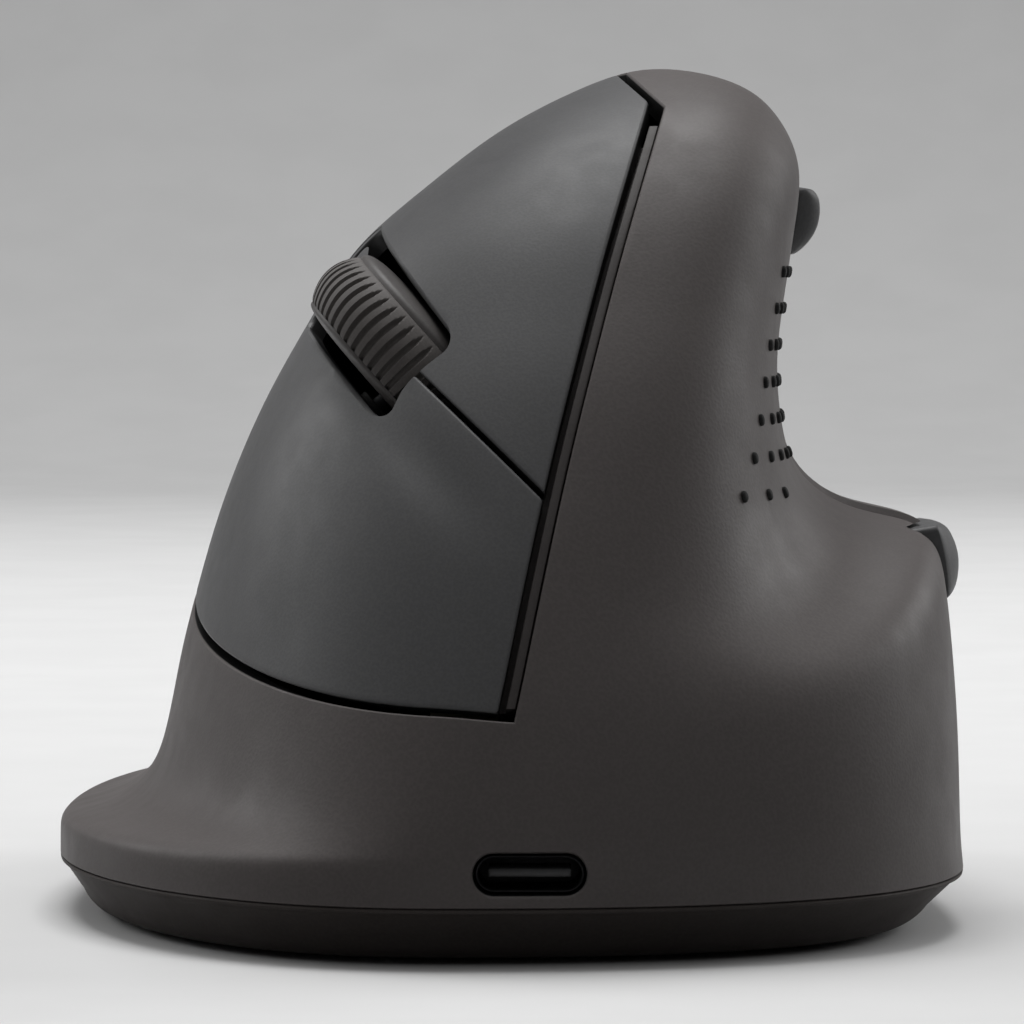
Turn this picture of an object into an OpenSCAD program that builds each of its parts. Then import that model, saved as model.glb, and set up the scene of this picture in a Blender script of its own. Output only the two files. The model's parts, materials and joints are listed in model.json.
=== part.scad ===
// Vertical ergonomic mouse for the right hand.
// Frame: the desk is z = 0, the nose with the charging socket faces -y,
// the thumb side is +x and the finger side is -x. All sizes are millimetres.

/* [Body] */
// Overall width across the base
body_w = 79; // [76:0.5:83]
// Overall length from nose to heel
body_l = 112; // [109:0.5:117]
// Overall height above the desk
body_h = 74; // [72:0.5:78]
// Height of the seam between the upper housing and the base
seam_h = 5; // [4.8:0.1:5.4]
// Wall of the upper housing
shell_wall = 2; // [1.8:0.1:2.2]
// Depth that the thumb chute drops towards the nose
chute_drop = 7; // [5:0.5:8]

/* [Base] */
// Clearance under the base, filled by the glide feet
foot_h = 0.6; // [0.5:0.05:0.8]
// Inset of the base chamfer at its lower edge
base_chamfer = 3.8; // [3.4:0.1:4.2]
// Share of that inset that the finger side lacks
base_skew = 0.35; // [0.25:0.01:0.4]
// Height of the bevel under the chamfer
base_bevel = 0.8; // [0.6:0.1:1]
// Floor thickness of the base tray
base_floor = 1.8; // [1.5:0.1:2]
// Width of the seam face on the base tray
base_wall = 3; // [2.6:0.1:3.2]

/* [Keys] */
// Thickness of the finger keys
key_t = 1.8; // [1.6:0.1:2]
// Width of the recessed strip along the nose
strip_w = 1.5; // [1.45:0.05:1.8]
// Gap round the other edges of the keys
key_gap = 0.8; // [0.7:0.05:0.9]
// Gap at the split between the two keys
split_gap = 0.6; // [0.5:0.05:0.7]
// Depth of the strip below the surface
strip_depth = 2.4; // [2.4:0.1:2.8]
// Diameter of the pin that the keys turn on
pin_d = 2; // [1.8:0.1:2.2]

/* [Scroll wheel] */
// Tilt of the wheel axle from the desk
finger_tilt = 42; // [41:0.5:43]
// Radius over the ribs
wheel_r = 11.95; // [11.6:0.05:12.1]
// Height that the wheel stands out of the keys
wheel_proud = 3.5; // [3.3:0.1:3.7]
// Width of the ribbed tread
tread_w = 5.5; // [5.2:0.1:5.7]
// Height of the domed hub on each side of the tread
hub_dome = 1.4; // [1.2:0.05:1.5]
// Height of the dome on the lower side of the wheel hub
low_dome = 0.9; // [0.7:0.05:1]
// Number of ribs
rib_count = 60; // [54:1:64]
// Depth of the grooves between ribs
rib_depth = 0.45; // [0.35:0.05:0.55]
// Diameter of the axle
axle_d = 2.4; // [2.2:0.1:2.6]
// Travel of the wheel when it is pressed
wheel_travel = 0.6; // [0.5:0.05:0.65]

/* [Thumb side] */
// Height of the thumb button caps
thumb_cap_h = 6; // [5.6:0.1:6.2]
// Length of each thumb button cap
thumb_cap_l = 12; // [11.5:0.1:12.3]
// Distance that the thumb buttons stand out of the wall
thumb_proud = 2.35; // [2.1:0.05:2.5]
// Height of the mode button cap
mode_cap_h = 6.4; // [6:0.1:6.6]
// Length of the mode button cap
mode_cap_l = 15; // [13:0.5:16]
// Distance that the mode button stands out of the thumb rest
mode_proud = 1.7; // [1.5:0.1:1.9]
// Clearance round the buttons
cap_clear = 0.3; // [0.25:0.05:0.4]
// Travel of the buttons on the thumb side
cap_travel = 0.5; // [0.4:0.05:0.55]
// Rows of grip pips
pip_rows = 7; // [6:1:7]
// Pips in a row
pip_cols = 8; // [6:1:8]
// Pitch of the pip rows
pip_pitch = 3.1; // [3:0.05:3.2]
// Pitch of the pips along a row
pip_reach = 2.6; // [2.4:0.1:2.8]
// Height of a grip pip
pip_h = 0.35; // [0.3:0.05:0.45]

/* [Electronics] */
// Thickness of the circuit boards
pcb_t = 1.2; // [1:0.1:1.4]
// Height of the main board above the base floor
pcb_lift = 2.6; // [2.4:0.1:2.8]
// Place of the charging socket across the nose
usb_x = 2; // [0:0.5:3]
// Height of a key switch body
switch_h = 6.5; // [6.2:0.1:6.6]
// Travel of the power slider
slider_travel = 2.5; // [2:0.1:3]
// Battery width
battery_w = 30; // [26:1:32]
// Battery length
battery_l = 32; // [28:1:33]
// Battery thickness
battery_t = 5.5; // [4.5:0.1:6]

/* [Hidden] */
$fn = 48;

warm_grey = [0.36, 0.345, 0.34];
cool_grey = [0.4, 0.4, 0.405];
dark_grey = [0.13, 0.13, 0.125];
pcb_green = [0.12, 0.3, 0.2];
steel = [0.7, 0.7, 0.72];
black = [0.07, 0.07, 0.07];
pale = [0.78, 0.78, 0.8];

half_w = body_w / 2;
half_l = body_l / 2;
rise = body_h - seam_h;
// Play between fixed pieces, radial play of pins and axles in their bores, and play of a press fit
seat_play = 0.1;
pin_play = 0.05;
press_play = 0.02;
// Overlap of fused pieces, reach of a cutter past a face, and length of cutters that go right through
lap = 0.5;
over = 1;
cut_l = 10;
// Heights on the body below are given for this overall height
plan_h = 74;
function at_height(z) = z * body_h / plan_h;

// The body is lofted through closed level curves that climb from the seam to the crown.
// Each list gives one guide curve, level by level: places as shares of the half width or
// half length, heights as shares of the height above the seam.
finger_x = [-1, -1, -0.999, -0.975, -0.889, -0.79, -0.753, -0.727, -0.689, -0.646, -0.589, -0.52,
    -0.434, -0.339, -0.191, -0.028, 0.144, 0.34];
finger_z = [0, 0.03, 0.046, 0.056, 0.0645, 0.096, 0.172, 0.256, 0.335, 0.422, 0.509, 0.595, 0.679,
    0.773, 0.841, 0.918, 0.97];
thumb_x = [1, 0.995, 0.993, 0.992, 0.991, 0.987, 0.965, 0.942, 0.757, 0.634, 0.602, 0.592, 0.613,
    0.637, 0.661, 0.607, 0.528, 0.34];
thumb_z = [0, 0.03, 0.05, 0.07, 0.1, 0.2, 0.362, 0.438, 0.444, 0.492, 0.559, 0.638, 0.709, 0.796,
    0.875, 0.942, 0.984];
nose_y = [-1, -0.999, -0.998, -0.997, -0.995, -0.987, -0.964, -0.934, -0.905, -0.871, -0.821,
    -0.771, -0.705, -0.634, -0.554, -0.438, -0.286, -0.089];
heel_y = [1, 1, 1, 0.998, 0.993, 0.975, 0.938, 0.904, 0.87, 0.83, 0.768, 0.696, 0.607, 0.491, 0.375,
    0.214, 0.071, -0.089];
nose_x = [-0.104, -0.091, -0.081, -0.075, -0.067, -0.044, -0.001, 0.03, 0.057, 0.085, 0.121, 0.158,
    0.195, 0.238, 0.276, 0.316, 0.343, 0.349];
middle_z = [0, 0.028, 0.046, 0.058, 0.074, 0.12, 0.217, 0.304, 0.377, 0.449, 0.536, 0.616, 0.696,
    0.783, 0.855, 0.928, 0.977];
// Share of the chute drop that each level takes, and the squareness of its thumb side corner
chute = [0, 0, 0, 0, 0.05, 0.15, 0.6, 1, 0.95,
    0.65, 0.3, 0.1, 0, 0, 0, 0, 0, 0];
corner = [2.2, 2.2, 2.2, 2.2, 2.2, 2.2, 2.2, 2.2, 2.3,
    2.6, 2.9, 3, 3, 3, 2.9, 2.6, 2.3, 2];
// Share of the flank shift that each level takes
flank = [1, 1, 1, 1, 0.98, 0.95, 0.85, 0.7, 0.5,
    0.3, 0.1, 0, 0, 0, 0, 0, 0, 0];
top = len(finger_x) - 1;
level_step = rise / 12;
// The widest places lie behind the waist on the finger side and ahead of it on the thumb side
waist_y = -11;
flank_shift = 7.5;
crown_y = nose_y[top] * half_l;
chute_dir = 315;
chute_half = 55;
round_n = 2.2;

function mix(a, b, f) = a + (b - a) * f;
function clamp01(v) = max(0, min(1, v));
function unit(v) = v / norm(v);
function waist_at(k) = mix(waist_y, crown_y, pow(k / top, 6));
// The last height is set so that the crown closes level at the overall height
function share_at(list, k) = k < top ? list[k] : (3 - list[top - 1]) / 2;
function level_row(k) = [
    finger_x[k] * half_w, seam_h + rise * share_at(finger_z, k),
    thumb_x[k] * half_w, seam_h + rise * share_at(thumb_z, k),
    nose_y[k] * half_l, seam_h + rise * share_at(middle_z, k),
    heel_y[k] * half_l,
    nose_x[k] * half_w, waist_at(k), chute[k] * chute_drop, corner[k], flank[k] * flank_shift];
rows = [for (k = [0 : top]) level_row(k)];
// Beyond the crown the widths go on shrinking and the heights turn back
crown_row = [for (i = [0 : len(rows[0]) - 1])
    i == 1 || i == 3 || i == 5 ? rows[top - 1][i] : 2 * rows[top][i] - rows[top - 1][i]];
knots = concat([2 * rows[0] - rows[1]], rows, [crown_row]);

// Uniform cubic B-spline through the level rows
function level(u) =
    let (k = max(0, min(floor(u), top - 1)), f = u - k, g = 1 - f)
    (knots[k] * g * g * g + knots[k + 1] * (3 * f * f * f - 6 * f * f + 4)
    + knots[k + 2] * (3 * g * g * g - 6 * g * g + 4) + knots[k + 3] * f * f * f) / 6;

function chute_at(t) =
    let (d = abs(t - chute_dir)) d < chute_half ? pow(cos(d * 90 / chute_half), 2) : 0;

// Point of the body at level u and direction t: 0 thumb, 90 heel, 180 finger, 270 nose
function body_pt(u, t) =
    let (r = level(u), a = (t + 360) % 360, c = cos(a), s = sin(a),
        n = c > 0 && s < 0 ? r[10] : round_n,
        ax = c > 0 ? r[2] - r[7] : r[7] - r[0],
        by = s > 0 ? r[6] - r[8] : r[8] - r[4],
        mean = (r[1] + r[3] + 2 * r[5]) / 4,
        lean = (r[3] - r[1]) / 2,
        saddle = (r[1] + r[3] - 2 * r[5]) / 4)
    [r[7] + sign(c) * ax * pow(abs(c), 2 / n),
        r[8] + sign(s) * by * pow(abs(s), 2 / n) - r[11] * c * abs(c),
        mean + lean * c + saddle * cos(2 * a) - r[9] * chute_at(a)];

// Outward normal of the body
function body_n(u, t) =
    let (v = min(u, top - 0.04), du = 0.03, dt = 1.2)
    unit(cross(body_pt(v, t + dt) - body_pt(v, t - dt),
        body_pt(v + du, t) - body_pt(v - du, t)));
function inside_pt(u, t, d) = body_pt(u, t) - d * body_n(u, t);

// Level and direction reached by moving a distance d along the surface
function climb(u, t, d) = u + d * 0.1 / norm(body_pt(u + 0.05, t) - body_pt(u - 0.05, t));
function turn(u, t, d) = t + d * 2 / norm(body_pt(u, t + 1) - body_pt(u, t - 1));

// Level and direction of the point at y and z on the thumb side (1) or the finger side (-1)
function side_ut(side, y, z, steps = 14, u = 10, c = 1) =
    let (r = level(u), v = y + side * r[11] * c * c, ahead = v < r[8],
        b = ahead ? r[8] - r[4] : r[6] - r[8], n = side > 0 && ahead ? r[10] : round_n,
        a = asin(pow(min(1, abs(v - r[8]) / b), n / 2)) * (ahead ? -1 : 1),
        t = side > 0 ? a : 180 - a)
    steps == 0 ? [u, t] : side_ut(side, y, z, steps - 1,
        max(0, min(top - 0.2, u + (z - body_pt(u, t)[2]) / level_step)), cos(a));

// Direction at a sideways distance d from the nose line, towards the thumb where d > 0
function nose_turn(u, d) =
    let (r = level(u), a = d > 0 ? r[2] - r[7] : r[7] - r[0], n = d > 0 ? r[10] : round_n)
    270 + sign(d) * asin(pow(min(1, abs(d) / a), n / 2));

// Frame of the finger side: x along the wheel axle, y to the rear, z out of the keys
wheel_y = -0.2339 * body_l;
wheel_z = 53.65;
wheel_ut = side_ut(-1, wheel_y, at_height(wheel_z));
axle_dir = [cos(finger_tilt), 0, sin(finger_tilt)];
out_dir = [-sin(finger_tilt), 0, cos(finger_tilt)];
wheel_c = body_pt(wheel_ut[0], wheel_ut[1]) + (wheel_proud - wheel_r) * out_dir;
function finger_pt(p) = let (d = p - wheel_c) [d * axle_dir, d[1], d * out_dir];
module finger_frame() { translate(wheel_c) rotate([0, -finger_tilt, 0]) children(); }

// Outline of the key opening: s runs from its rear end (0) to the nose (1)
open_bottom = [9.15, 6.06];
open_sag = 0.3;
open_top = [12.4, 14.6, 15.8, 16.45];
rear_turn = [140, 112];
rear_levels = [9, 13.5];
function open_rear(u) = mix(rear_turn[0], rear_turn[1],
    clamp01((u - rear_levels[0]) / (rear_levels[1] - rear_levels[0])));
function open_front(u) = nose_turn(u, strip_w / 2);
function open_low(s) = mix(open_bottom[0], open_bottom[1], s) - open_sag * sin(180 * s);
// The front half of the upper edge lies in one plane, and the rear half curves down to the rear end
brow_s = 0.5;
brow_n = unit([0.66, -0.037, 0.751]);
brow_at = [0.3446 * body_w / 2, -0.3777 * body_l / 2, at_height(70.28)];
function brow_gap(u, s) = brow_n * (body_pt(u, mix(open_rear(u), open_front(u), s)) - brow_at);
function brow_level(s, steps = 7, u = 16) = steps == 0 ? u :
    let (f = brow_gap(u, s), g = (brow_gap(u + 0.05, s) - f) / 0.05)
    brow_level(s, steps - 1, max(14, min(top - 0.1, u - f / max(1, g))));
top_marks = concat(open_top, [brow_level(brow_s)]);
function open_high(s) = s > brow_s ? brow_level(s) :
    let (m = len(top_marks) - 1, v = s / brow_s * m, k = min(floor(v), m - 1), f = v - k,
        a = top_marks[max(0, k - 1)], b = top_marks[k],
        c = top_marks[k + 1], d = top_marks[min(m, k + 2)])
    b + f * ((c - a) / 2 + f * ((2 * a - 5 * b + 4 * c - d) / 2
    + f * (3 * b - a - 3 * c + d) / 2));

// Grid of the upper housing: the opening columns come first, then the rest of the way round
open_cols = 20;
rest_cols = 34;
cols = open_cols + rest_cols;
low_rows = 11;
open_rows = 12;
high_rows = 5;
shell_rows = low_rows + open_rows + high_rows;
function grid_ut(i, j) =
    let (s = j / open_cols, v = (j - open_cols) / rest_cols,
        lo = j <= open_cols ? open_low(s) : open_low(1 - v),
        hi = j <= open_cols ? open_high(s) : mix(open_high(1), open_high(0), v),
        u = i <= low_rows ? lo * pow(i / low_rows, 1.15)
            : i <= low_rows + open_rows ? mix(lo, hi, (i - low_rows) / open_rows)
            : mix(hi, top, (i - low_rows - open_rows) / high_rows))
    [u, j <= open_cols ? mix(open_rear(u), open_front(u), s)
        : mix(open_front(u), open_rear(u) + 360, v)];

// Two triangles of a quad, wound to face outward
function quad(a, b, c, d) = [[a, c, b], [a, d, c]];

// The housing as one closed surface: outside, inside, the edge of the key opening and the
// flat seam face. Its inside starts a few rows up and drops straight to the seam.
skirt_row = 6;
module housing() {
    outer = [for (i = [0 : shell_rows - 1], j = [0 : cols - 1])
        let (g = grid_ut(i, j)) body_pt(g[0], g[1])];
    inner = [for (i = [skirt_row : shell_rows - 1], j = [0 : cols - 1])
        let (g = grid_ut(i, j)) inside_pt(g[0], g[1], shell_wall)];
    foot = [for (j = [0 : cols - 1]) [inner[j][0], inner[j][1], seam_h]];
    crown = body_pt(top, 0);
    apex = [crown, crown - [0, 0, shell_wall]];
    n_out = len(outer);
    n_in = n_out + len(inner);
    n_foot = n_in + cols;
    function o(i, j) = i * cols + j % cols;
    function n(i, j) = n_out + (i - skirt_row) * cols + j % cols;
    function f(j) = n_in + j % cols;
    function open(i, j) = j < open_cols && i >= low_rows && i < low_rows + open_rows;
    skin = [for (i = [0 : shell_rows - 2], j = [0 : cols - 1])
        if (!open(i, j)) each quad(o(i, j), o(i, j + 1), o(i + 1, j + 1), o(i + 1, j))];
    lining = [for (i = [skirt_row : shell_rows - 2], j = [0 : cols - 1])
        if (!open(i, j)) each quad(n(i + 1, j), n(i + 1, j + 1), n(i, j + 1), n(i, j))];
    skirt = [for (j = [0 : cols - 1])
        each quad(n(skirt_row, j), n(skirt_row, j + 1), f(j + 1), f(j))];
    seam = [for (j = [0 : cols - 1]) each quad(f(j), f(j + 1), o(0, j + 1), o(0, j))];
    dome = [for (j = [0 : cols - 1])
        each [[o(shell_rows - 1, j), n_foot, o(shell_rows - 1, j + 1)],
            [n(shell_rows - 1, j), n(shell_rows - 1, j + 1), n_foot + 1]]];
    i0 = low_rows;
    i1 = low_rows + open_rows;
    sill = [for (j = [0 : open_cols - 1])
        each concat(quad(o(i0, j), o(i0, j + 1), n(i0, j + 1), n(i0, j)),
            quad(n(i1, j), n(i1, j + 1), o(i1, j + 1), o(i1, j)))];
    jamb = [for (i = [i0 : i1 - 1])
        each concat(quad(o(i + 1, 0), o(i, 0), n(i, 0), n(i + 1, 0)),
            quad(o(i, open_cols), o(i + 1, open_cols), n(i + 1, open_cols), n(i, open_cols)))];
    polyhedron(concat(outer, inner, foot, apex),
        concat(skin, lining, skirt, seam, dome, sill, jamb), convexity = 6);
}

// Split between the keys: it lies in the plane of the wheel, and bends down behind it
split_tail = -5;
split_drop = -0.45;
split_nose = 1.25;
split_marks = [0.45, 0.72];
function split_x(s) = s > split_marks[1]
    ? mix(split_drop, split_nose, (s - split_marks[1]) / (1 - split_marks[1]))
    : s > split_marks[0] ? split_drop
    : mix(split_drop, split_tail, pow((split_marks[0] - s) / split_marks[0], 1.5));
function split_at(s, steps = 12, u = 11) = steps == 0 ? u : split_at(s, steps - 1,
    u + (split_x(s) - finger_pt(body_pt(u, key_turn(u, s)))[0]) / level_step);
function key_turn(u, s) =
    mix(turn(u, open_rear(u), key_gap), nose_turn(u, -strip_w / 2), s);
function key_low(s) = let (u = open_low(s)) climb(u, key_turn(u, s), key_gap);
function key_high(s) = let (u = open_high(s)) climb(u, key_turn(u, s), -key_gap);
function split_edge(s, d) = let (u = split_at(s)) climb(u, key_turn(u, s), d);

// A plate that follows the body between two of these edges
key_cols = 22;
key_rows = 7;
module key_plate(upper) {
    edges = [for (j = [0 : key_cols]) let (s = j / key_cols)
        upper ? [split_edge(s, split_gap / 2), key_high(s)]
            : [key_low(s), split_edge(s, -split_gap / 2)]];
    function key_ut(i, j) = let (u = mix(edges[j][0], edges[j][1], i / key_rows))
        [u, key_turn(u, j / key_cols)];
    wide = key_cols + 1;
    face = [for (i = [0 : key_rows], j = [0 : key_cols])
        let (g = key_ut(i, j)) body_pt(g[0], g[1])];
    back = [for (i = [0 : key_rows], j = [0 : key_cols])
        let (g = key_ut(i, j)) inside_pt(g[0], g[1], key_t)];
    m = len(face);
    function p(i, j) = i * wide + j;
    skin = [for (i = [0 : key_rows - 1], j = [0 : key_cols - 1])
        each concat(quad(p(i, j), p(i, j + 1), p(i + 1, j + 1), p(i + 1, j)),
            quad(m + p(i + 1, j), m + p(i + 1, j + 1), m + p(i, j + 1), m + p(i, j)))];
    long_edges = [for (j = [0 : key_cols - 1])
        each concat(quad(m + p(0, j), m + p(0, j + 1), p(0, j + 1), p(0, j)),
            quad(p(key_rows, j), p(key_rows, j + 1), m + p(key_rows, j + 1), m + p(key_rows, j)))];
    end_edges = [for (i = [0 : key_rows - 1])
        each concat(quad(m + p(i + 1, 0), m + p(i, 0), p(i, 0), p(i + 1, 0)),
            quad(p(i + 1, key_cols), p(i, key_cols), m + p(i, key_cols), m + p(i + 1, key_cols)))];
    polyhedron(concat(face, back), concat(skin, long_edges, end_edges), convexity = 6);
}

// Slot for the wheel, wider towards its rear end on the upper side
wheel_w = tread_w + 2 * hub_dome;
slot_clear = 0.4;
slot_end = wheel_r + slot_clear;
slot_low = tread_w / 2 + 2.05;
slot_high = [tread_w / 2 + 1.45, tread_w / 2 + 2.65];
slot_r = 1.6;
slot_floor = -6;
slot_cut = 40;
module wheel_slot_outline() {
    l = -slot_low;
    f = slot_high[0];
    g = slot_high[1];
    b = slot_end;
    polygon([[l, -b + slot_r], [l + slot_r, -b], [f - slot_r, -b], [f, -b + slot_r],
        [g, b - slot_r], [g - slot_r, b], [l + slot_r, b], [l, b - slot_r]]);
    for (c = [[l + slot_r, -1], [f - slot_r, -1], [g - slot_r, 1], [l + slot_r, 1]])
        translate([c[0], c[1] * (b - slot_r)]) circle(slot_r);
}
module wheel_slot() {
    finger_frame() translate([0, 0, slot_floor]) linear_extrude(slot_cut) wheel_slot_outline();
}

// Key hinge: one pin across the rear of both keys, in the finger frame
pin_y = 17;
pin_local_y = pin_y - wheel_c[1];
pin_z = -2.9;
pin_r = pin_d / 2;
knuckle_r = pin_r + 0.9;
knuckle_w = 4;
knuckle_play = 0.3;
function hinge_pt(level_u) =
    let (r = level(level_u), b = r[6] - r[8], a = asin(pow((pin_y - r[8]) / b, round_n / 2)))
    finger_pt(body_pt(level_u, 180 - a));
knuckle_levels = [10.15, 12.3];
knuckle_root = 0.7 * key_t;
lower_knuckle = hinge_pt(knuckle_levels[0]);
upper_knuckle = hinge_pt(knuckle_levels[1]);
ear_w = 1.6;
ear_d = 2 * knuckle_r - 0.6;
ear_x = [lower_knuckle[0] - knuckle_w / 2 - knuckle_play - ear_w / 2,
    lower_knuckle[0] + knuckle_w / 2 + knuckle_play + ear_w / 2,
    upper_knuckle[0] - knuckle_w / 2 - knuckle_play - ear_w / 2,
    upper_knuckle[0] + knuckle_w / 2 + knuckle_play + ear_w / 2];
module knuckle(at) {
    web_d = 2.4;
    finger_frame() translate([at[0], pin_local_y, 0]) {
        translate([-knuckle_w / 2, 0, pin_z]) rotate([0, 90, 0])
            cylinder(r = knuckle_r, h = knuckle_w);
        translate([-knuckle_w / 2, -web_d / 2, pin_z])
            cube([knuckle_w, web_d, at[2] - pin_z - knuckle_root]);
    }
}
module hinge_bore(r) {
    finger_frame() translate([ear_x[0] - cut_l, pin_local_y, pin_z]) rotate([0, 90, 0])
        cylinder(r = r, h = ear_x[3] - ear_x[0] + 2 * cut_l);
}

// Boss under a key that reaches down to its switch
boss_r = 1.5;
key_reach = 0.3;
boss_y = -7;
boss_z = [43, 61];
boss_root = 0.6 * key_t;
function boss_pt(z) = let (g = side_ut(-1, boss_y, z)) finger_pt(body_pt(g[0], g[1]));
lower_boss = boss_pt(at_height(boss_z[0]));
upper_boss = boss_pt(at_height(boss_z[1]));
deck_z = -5.2;
deck_t = 2;
board_top = deck_z + pcb_t;
switch_top = board_top + switch_h;
plunger_h = 0.7;
module key_boss(at) {
    z0 = switch_top + plunger_h + key_reach;
    finger_frame() translate([at[0], at[1], z0]) cylinder(r = boss_r, h = at[2] - z0 - boss_root);
}

// Frames on the thumb side: x out of the wall, y to the rear, z up along the wall, with the
// origin on the axis of the circle that the wall follows over the length of the buttons
function side_frame(y, z, half) =
    let (g = side_ut(1, y, z), n = body_n(g[0], g[1]), p = body_pt(g[0], g[1]),
        e = unit(cross([0, 0, 1], n)), up = cross(n, e),
        a = side_ut(1, y - half, z), b = side_ut(1, y + half, z),
        pa = body_pt(a[0], a[1]), pb = body_pt(b[0], b[1]), c = norm(pb - pa),
        sag = (p - (pa + pb) / 2) * n, r = (c * c / 4 + sag * sag) / (2 * sag))
    [p - r * n, n, e, up, r];
module place_frame(f) {
    o = f[0];
    multmatrix([for (i = [0 : 2]) [f[1][i], f[2][i], f[3][i], o[i]]]) children();
}
thumb_y = 1;
thumb_z_mid = 60.8;
thumb_slope = 2;
mode_y = -12;
mode_z = 31.1;
thumb_f = side_frame(thumb_y, at_height(thumb_z_mid), thumb_cap_l);
mode_f = side_frame(mode_y, at_height(mode_z), mode_cap_l / 2);
thumb_gap = 0.8;
thumb_turn = thumb_cap_l / thumb_f[4] * 180 / PI;
thumb_half_gap = thumb_gap / 2 / thumb_f[4] * 180 / PI;
thumb_end = thumb_turn + thumb_half_gap;
thumb_mid = thumb_half_gap + thumb_turn / 2;
mode_turn = mode_cap_l / mode_f[4] * 180 / PI;

// Profiles of the bulged caps as shares of the proud distance and the height: the thumb
// buttons are square at the top and slope in at the bottom, the mode button is a dome
thumb_profile = [[0, 0.5], [0.5, 0.5], [0.72, 0.46], [0.89, 0.37], [0.98, 0.23], [1, 0.1],
    [0.96, -0.05], [0.82, -0.2], [0.6, -0.34], [0.3, -0.46], [0, -0.5]];
mode_profile = [[0, 0.5], [0.4, 0.47], [0.72, 0.38], [0.92, 0.22], [1, 0.06], [0.97, -0.08],
    [0.86, -0.22], [0.66, -0.36], [0.38, -0.46], [0, -0.5]];

// A bulged cap on an arc of radius r from angle a to angle b, with lips of la and lb at its ends
// and lt at its top
cap_flange = 1;
cap_lip = 0.8;
stem_l = 1.6;
stem_r = 1.3;
arc_fn = 180;
module arc_sweep(a, b) { rotate([0, 0, a]) rotate_extrude(angle = b - a, $fn = arc_fn) children(); }
module arc_cap(profile, r, a, b, h, proud, sag, la, lb, lt) {
    back = shell_wall + sag + cap_flange;
    root = back - cap_flange / 2;
    turn_mm = 180 / PI / r;
    arc_sweep(a, b) polygon(concat([for (q = profile) [r + proud * q[0], h * q[1]]],
        [[r - root, -h / 2], [r - root, h / 2]]));
    arc_sweep(a - la * turn_mm, b + lb * turn_mm)
        translate([r - back, -h / 2 - cap_lip]) square([cap_flange, h + cap_lip + lt]);
    rotate([0, 0, (a + b) / 2]) translate([r - back - stem_l, 0, 0]) rotate([0, 90, 0])
        cylinder(r = stem_r, h = stem_l + cap_flange / 2);
}
module arc_hole(r, a, b, h, sag) {
    more = cap_clear / r * 180 / PI;
    deep = shell_wall + sag + cap_flange + cap_travel + cap_clear;
    arc_sweep(a - more, b + more)
        translate([r - deep, -h / 2 - cap_clear]) square([deep + cut_l / 2, h + 2 * cap_clear]);
}
// Behind a cap: its switch, and the curved board that carries the switch on two posts
tact_nub = 0.6;
tact_nub_r = 1.2;
tact_seat = 0.15;
tact_gap = cap_travel + seat_play;
tact_h = 3.2;
tact_w = 5;
function board_out(sag) = shell_wall + sag + cap_flange + stem_l + tact_gap + tact_nub + tact_h;
post_r = 1.6;
post_hole_r = 0.6;
post_hole_deep = 3;
post_cover = 1.3;
thread_play = 0.03;
small_head_r = 1.3;
small_head_h = 0.8;
small_bite = 1.7;
module tact_switch(r, sag, a) {
    tall = tact_h - tact_seat;
    rotate([0, 0, a]) translate([r - board_out(sag) + tact_seat, 0, 0]) {
        translate([0, -tact_w / 2, -tact_w / 2]) cube([tall, tact_w, tact_w]);
        translate([tall, 0, 0]) rotate([0, 90, 0]) cylinder(r = tact_nub_r, h = tact_nub);
    }
}
// How far the body surface is from the middle of a cap's arc along a post at angle a
function post_ray(f, slope, a) = cos(a) * f[1] + sin(a) * (cos(slope) * f[2] + sin(slope) * f[3]);
function post_reach(f, slope, a, d, steps = 5) = steps == 0 ? d :
    let (e = post_ray(f, slope, a), p = f[0] + d * e, g = side_ut(1, p[1], p[2]))
    post_reach(f, slope, a, d + (body_pt(g[0], g[1])[0] - p[0]) / max(0.5, e[0]), steps - 1);
module arc_posts(f, slope, sag, angles) {
    start = f[4] - board_out(sag);
    for (a = angles) rotate([0, 0, a]) translate([start, 0, 0]) rotate([0, 90, 0])
        cylinder(r = post_r, h = post_reach(f, slope, a, f[4] - 1) - start - post_cover);
}
module arc_post_holes(r, sag, angles) {
    for (a = angles) rotate([0, 0, a]) translate([r - board_out(sag) - post_hole_deep, 0, 0])
        rotate([0, 90, 0]) cylinder(r = post_hole_r, h = 2 * post_hole_deep);
}
module arc_board(r, sag, angles, more, h) {
    difference() {
        arc_sweep(angles[0] - more, angles[1] + more)
            translate([r - board_out(sag) - pcb_t - seat_play, -h / 2]) square([pcb_t, h]);
        arc_post_holes(r, sag, angles);
    }
}
module arc_screws(r, sag, angles) {
    head = r - board_out(sag) - pcb_t - 2 * seat_play;
    for (a = angles) rotate([0, 0, a]) translate([head, 0, 0]) rotate([0, 90, 0]) {
        translate([0, 0, -small_head_h]) cylinder(r = small_head_r, h = small_head_h);
        cylinder(r = post_hole_r - thread_play, h = pcb_t + small_bite);
    }
}
// Depth left behind the wall for its curve, and distance from a cap to its board posts
thumb_sag = 2.1;
mode_sag = 3.2;
thumb_top_lip = -1.2;
thumb_mid_lip = 0.3;
mode_top_lip = -2.2;
post_off = 2.85;
side_board_h = 4.4;
thumb_post = thumb_end + post_off / thumb_f[4] * 180 / PI;
mode_post = mode_turn / 2 + post_off / mode_f[4] * 180 / PI;
board_more = 1.9;
thumb_posts = [-thumb_post, thumb_post];
mode_posts = [-mode_post, mode_post];
module thumb_place() { place_frame(thumb_f) rotate([thumb_slope, 0, 0]) children(); }
module mode_place() { place_frame(mode_f) children(); }

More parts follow.
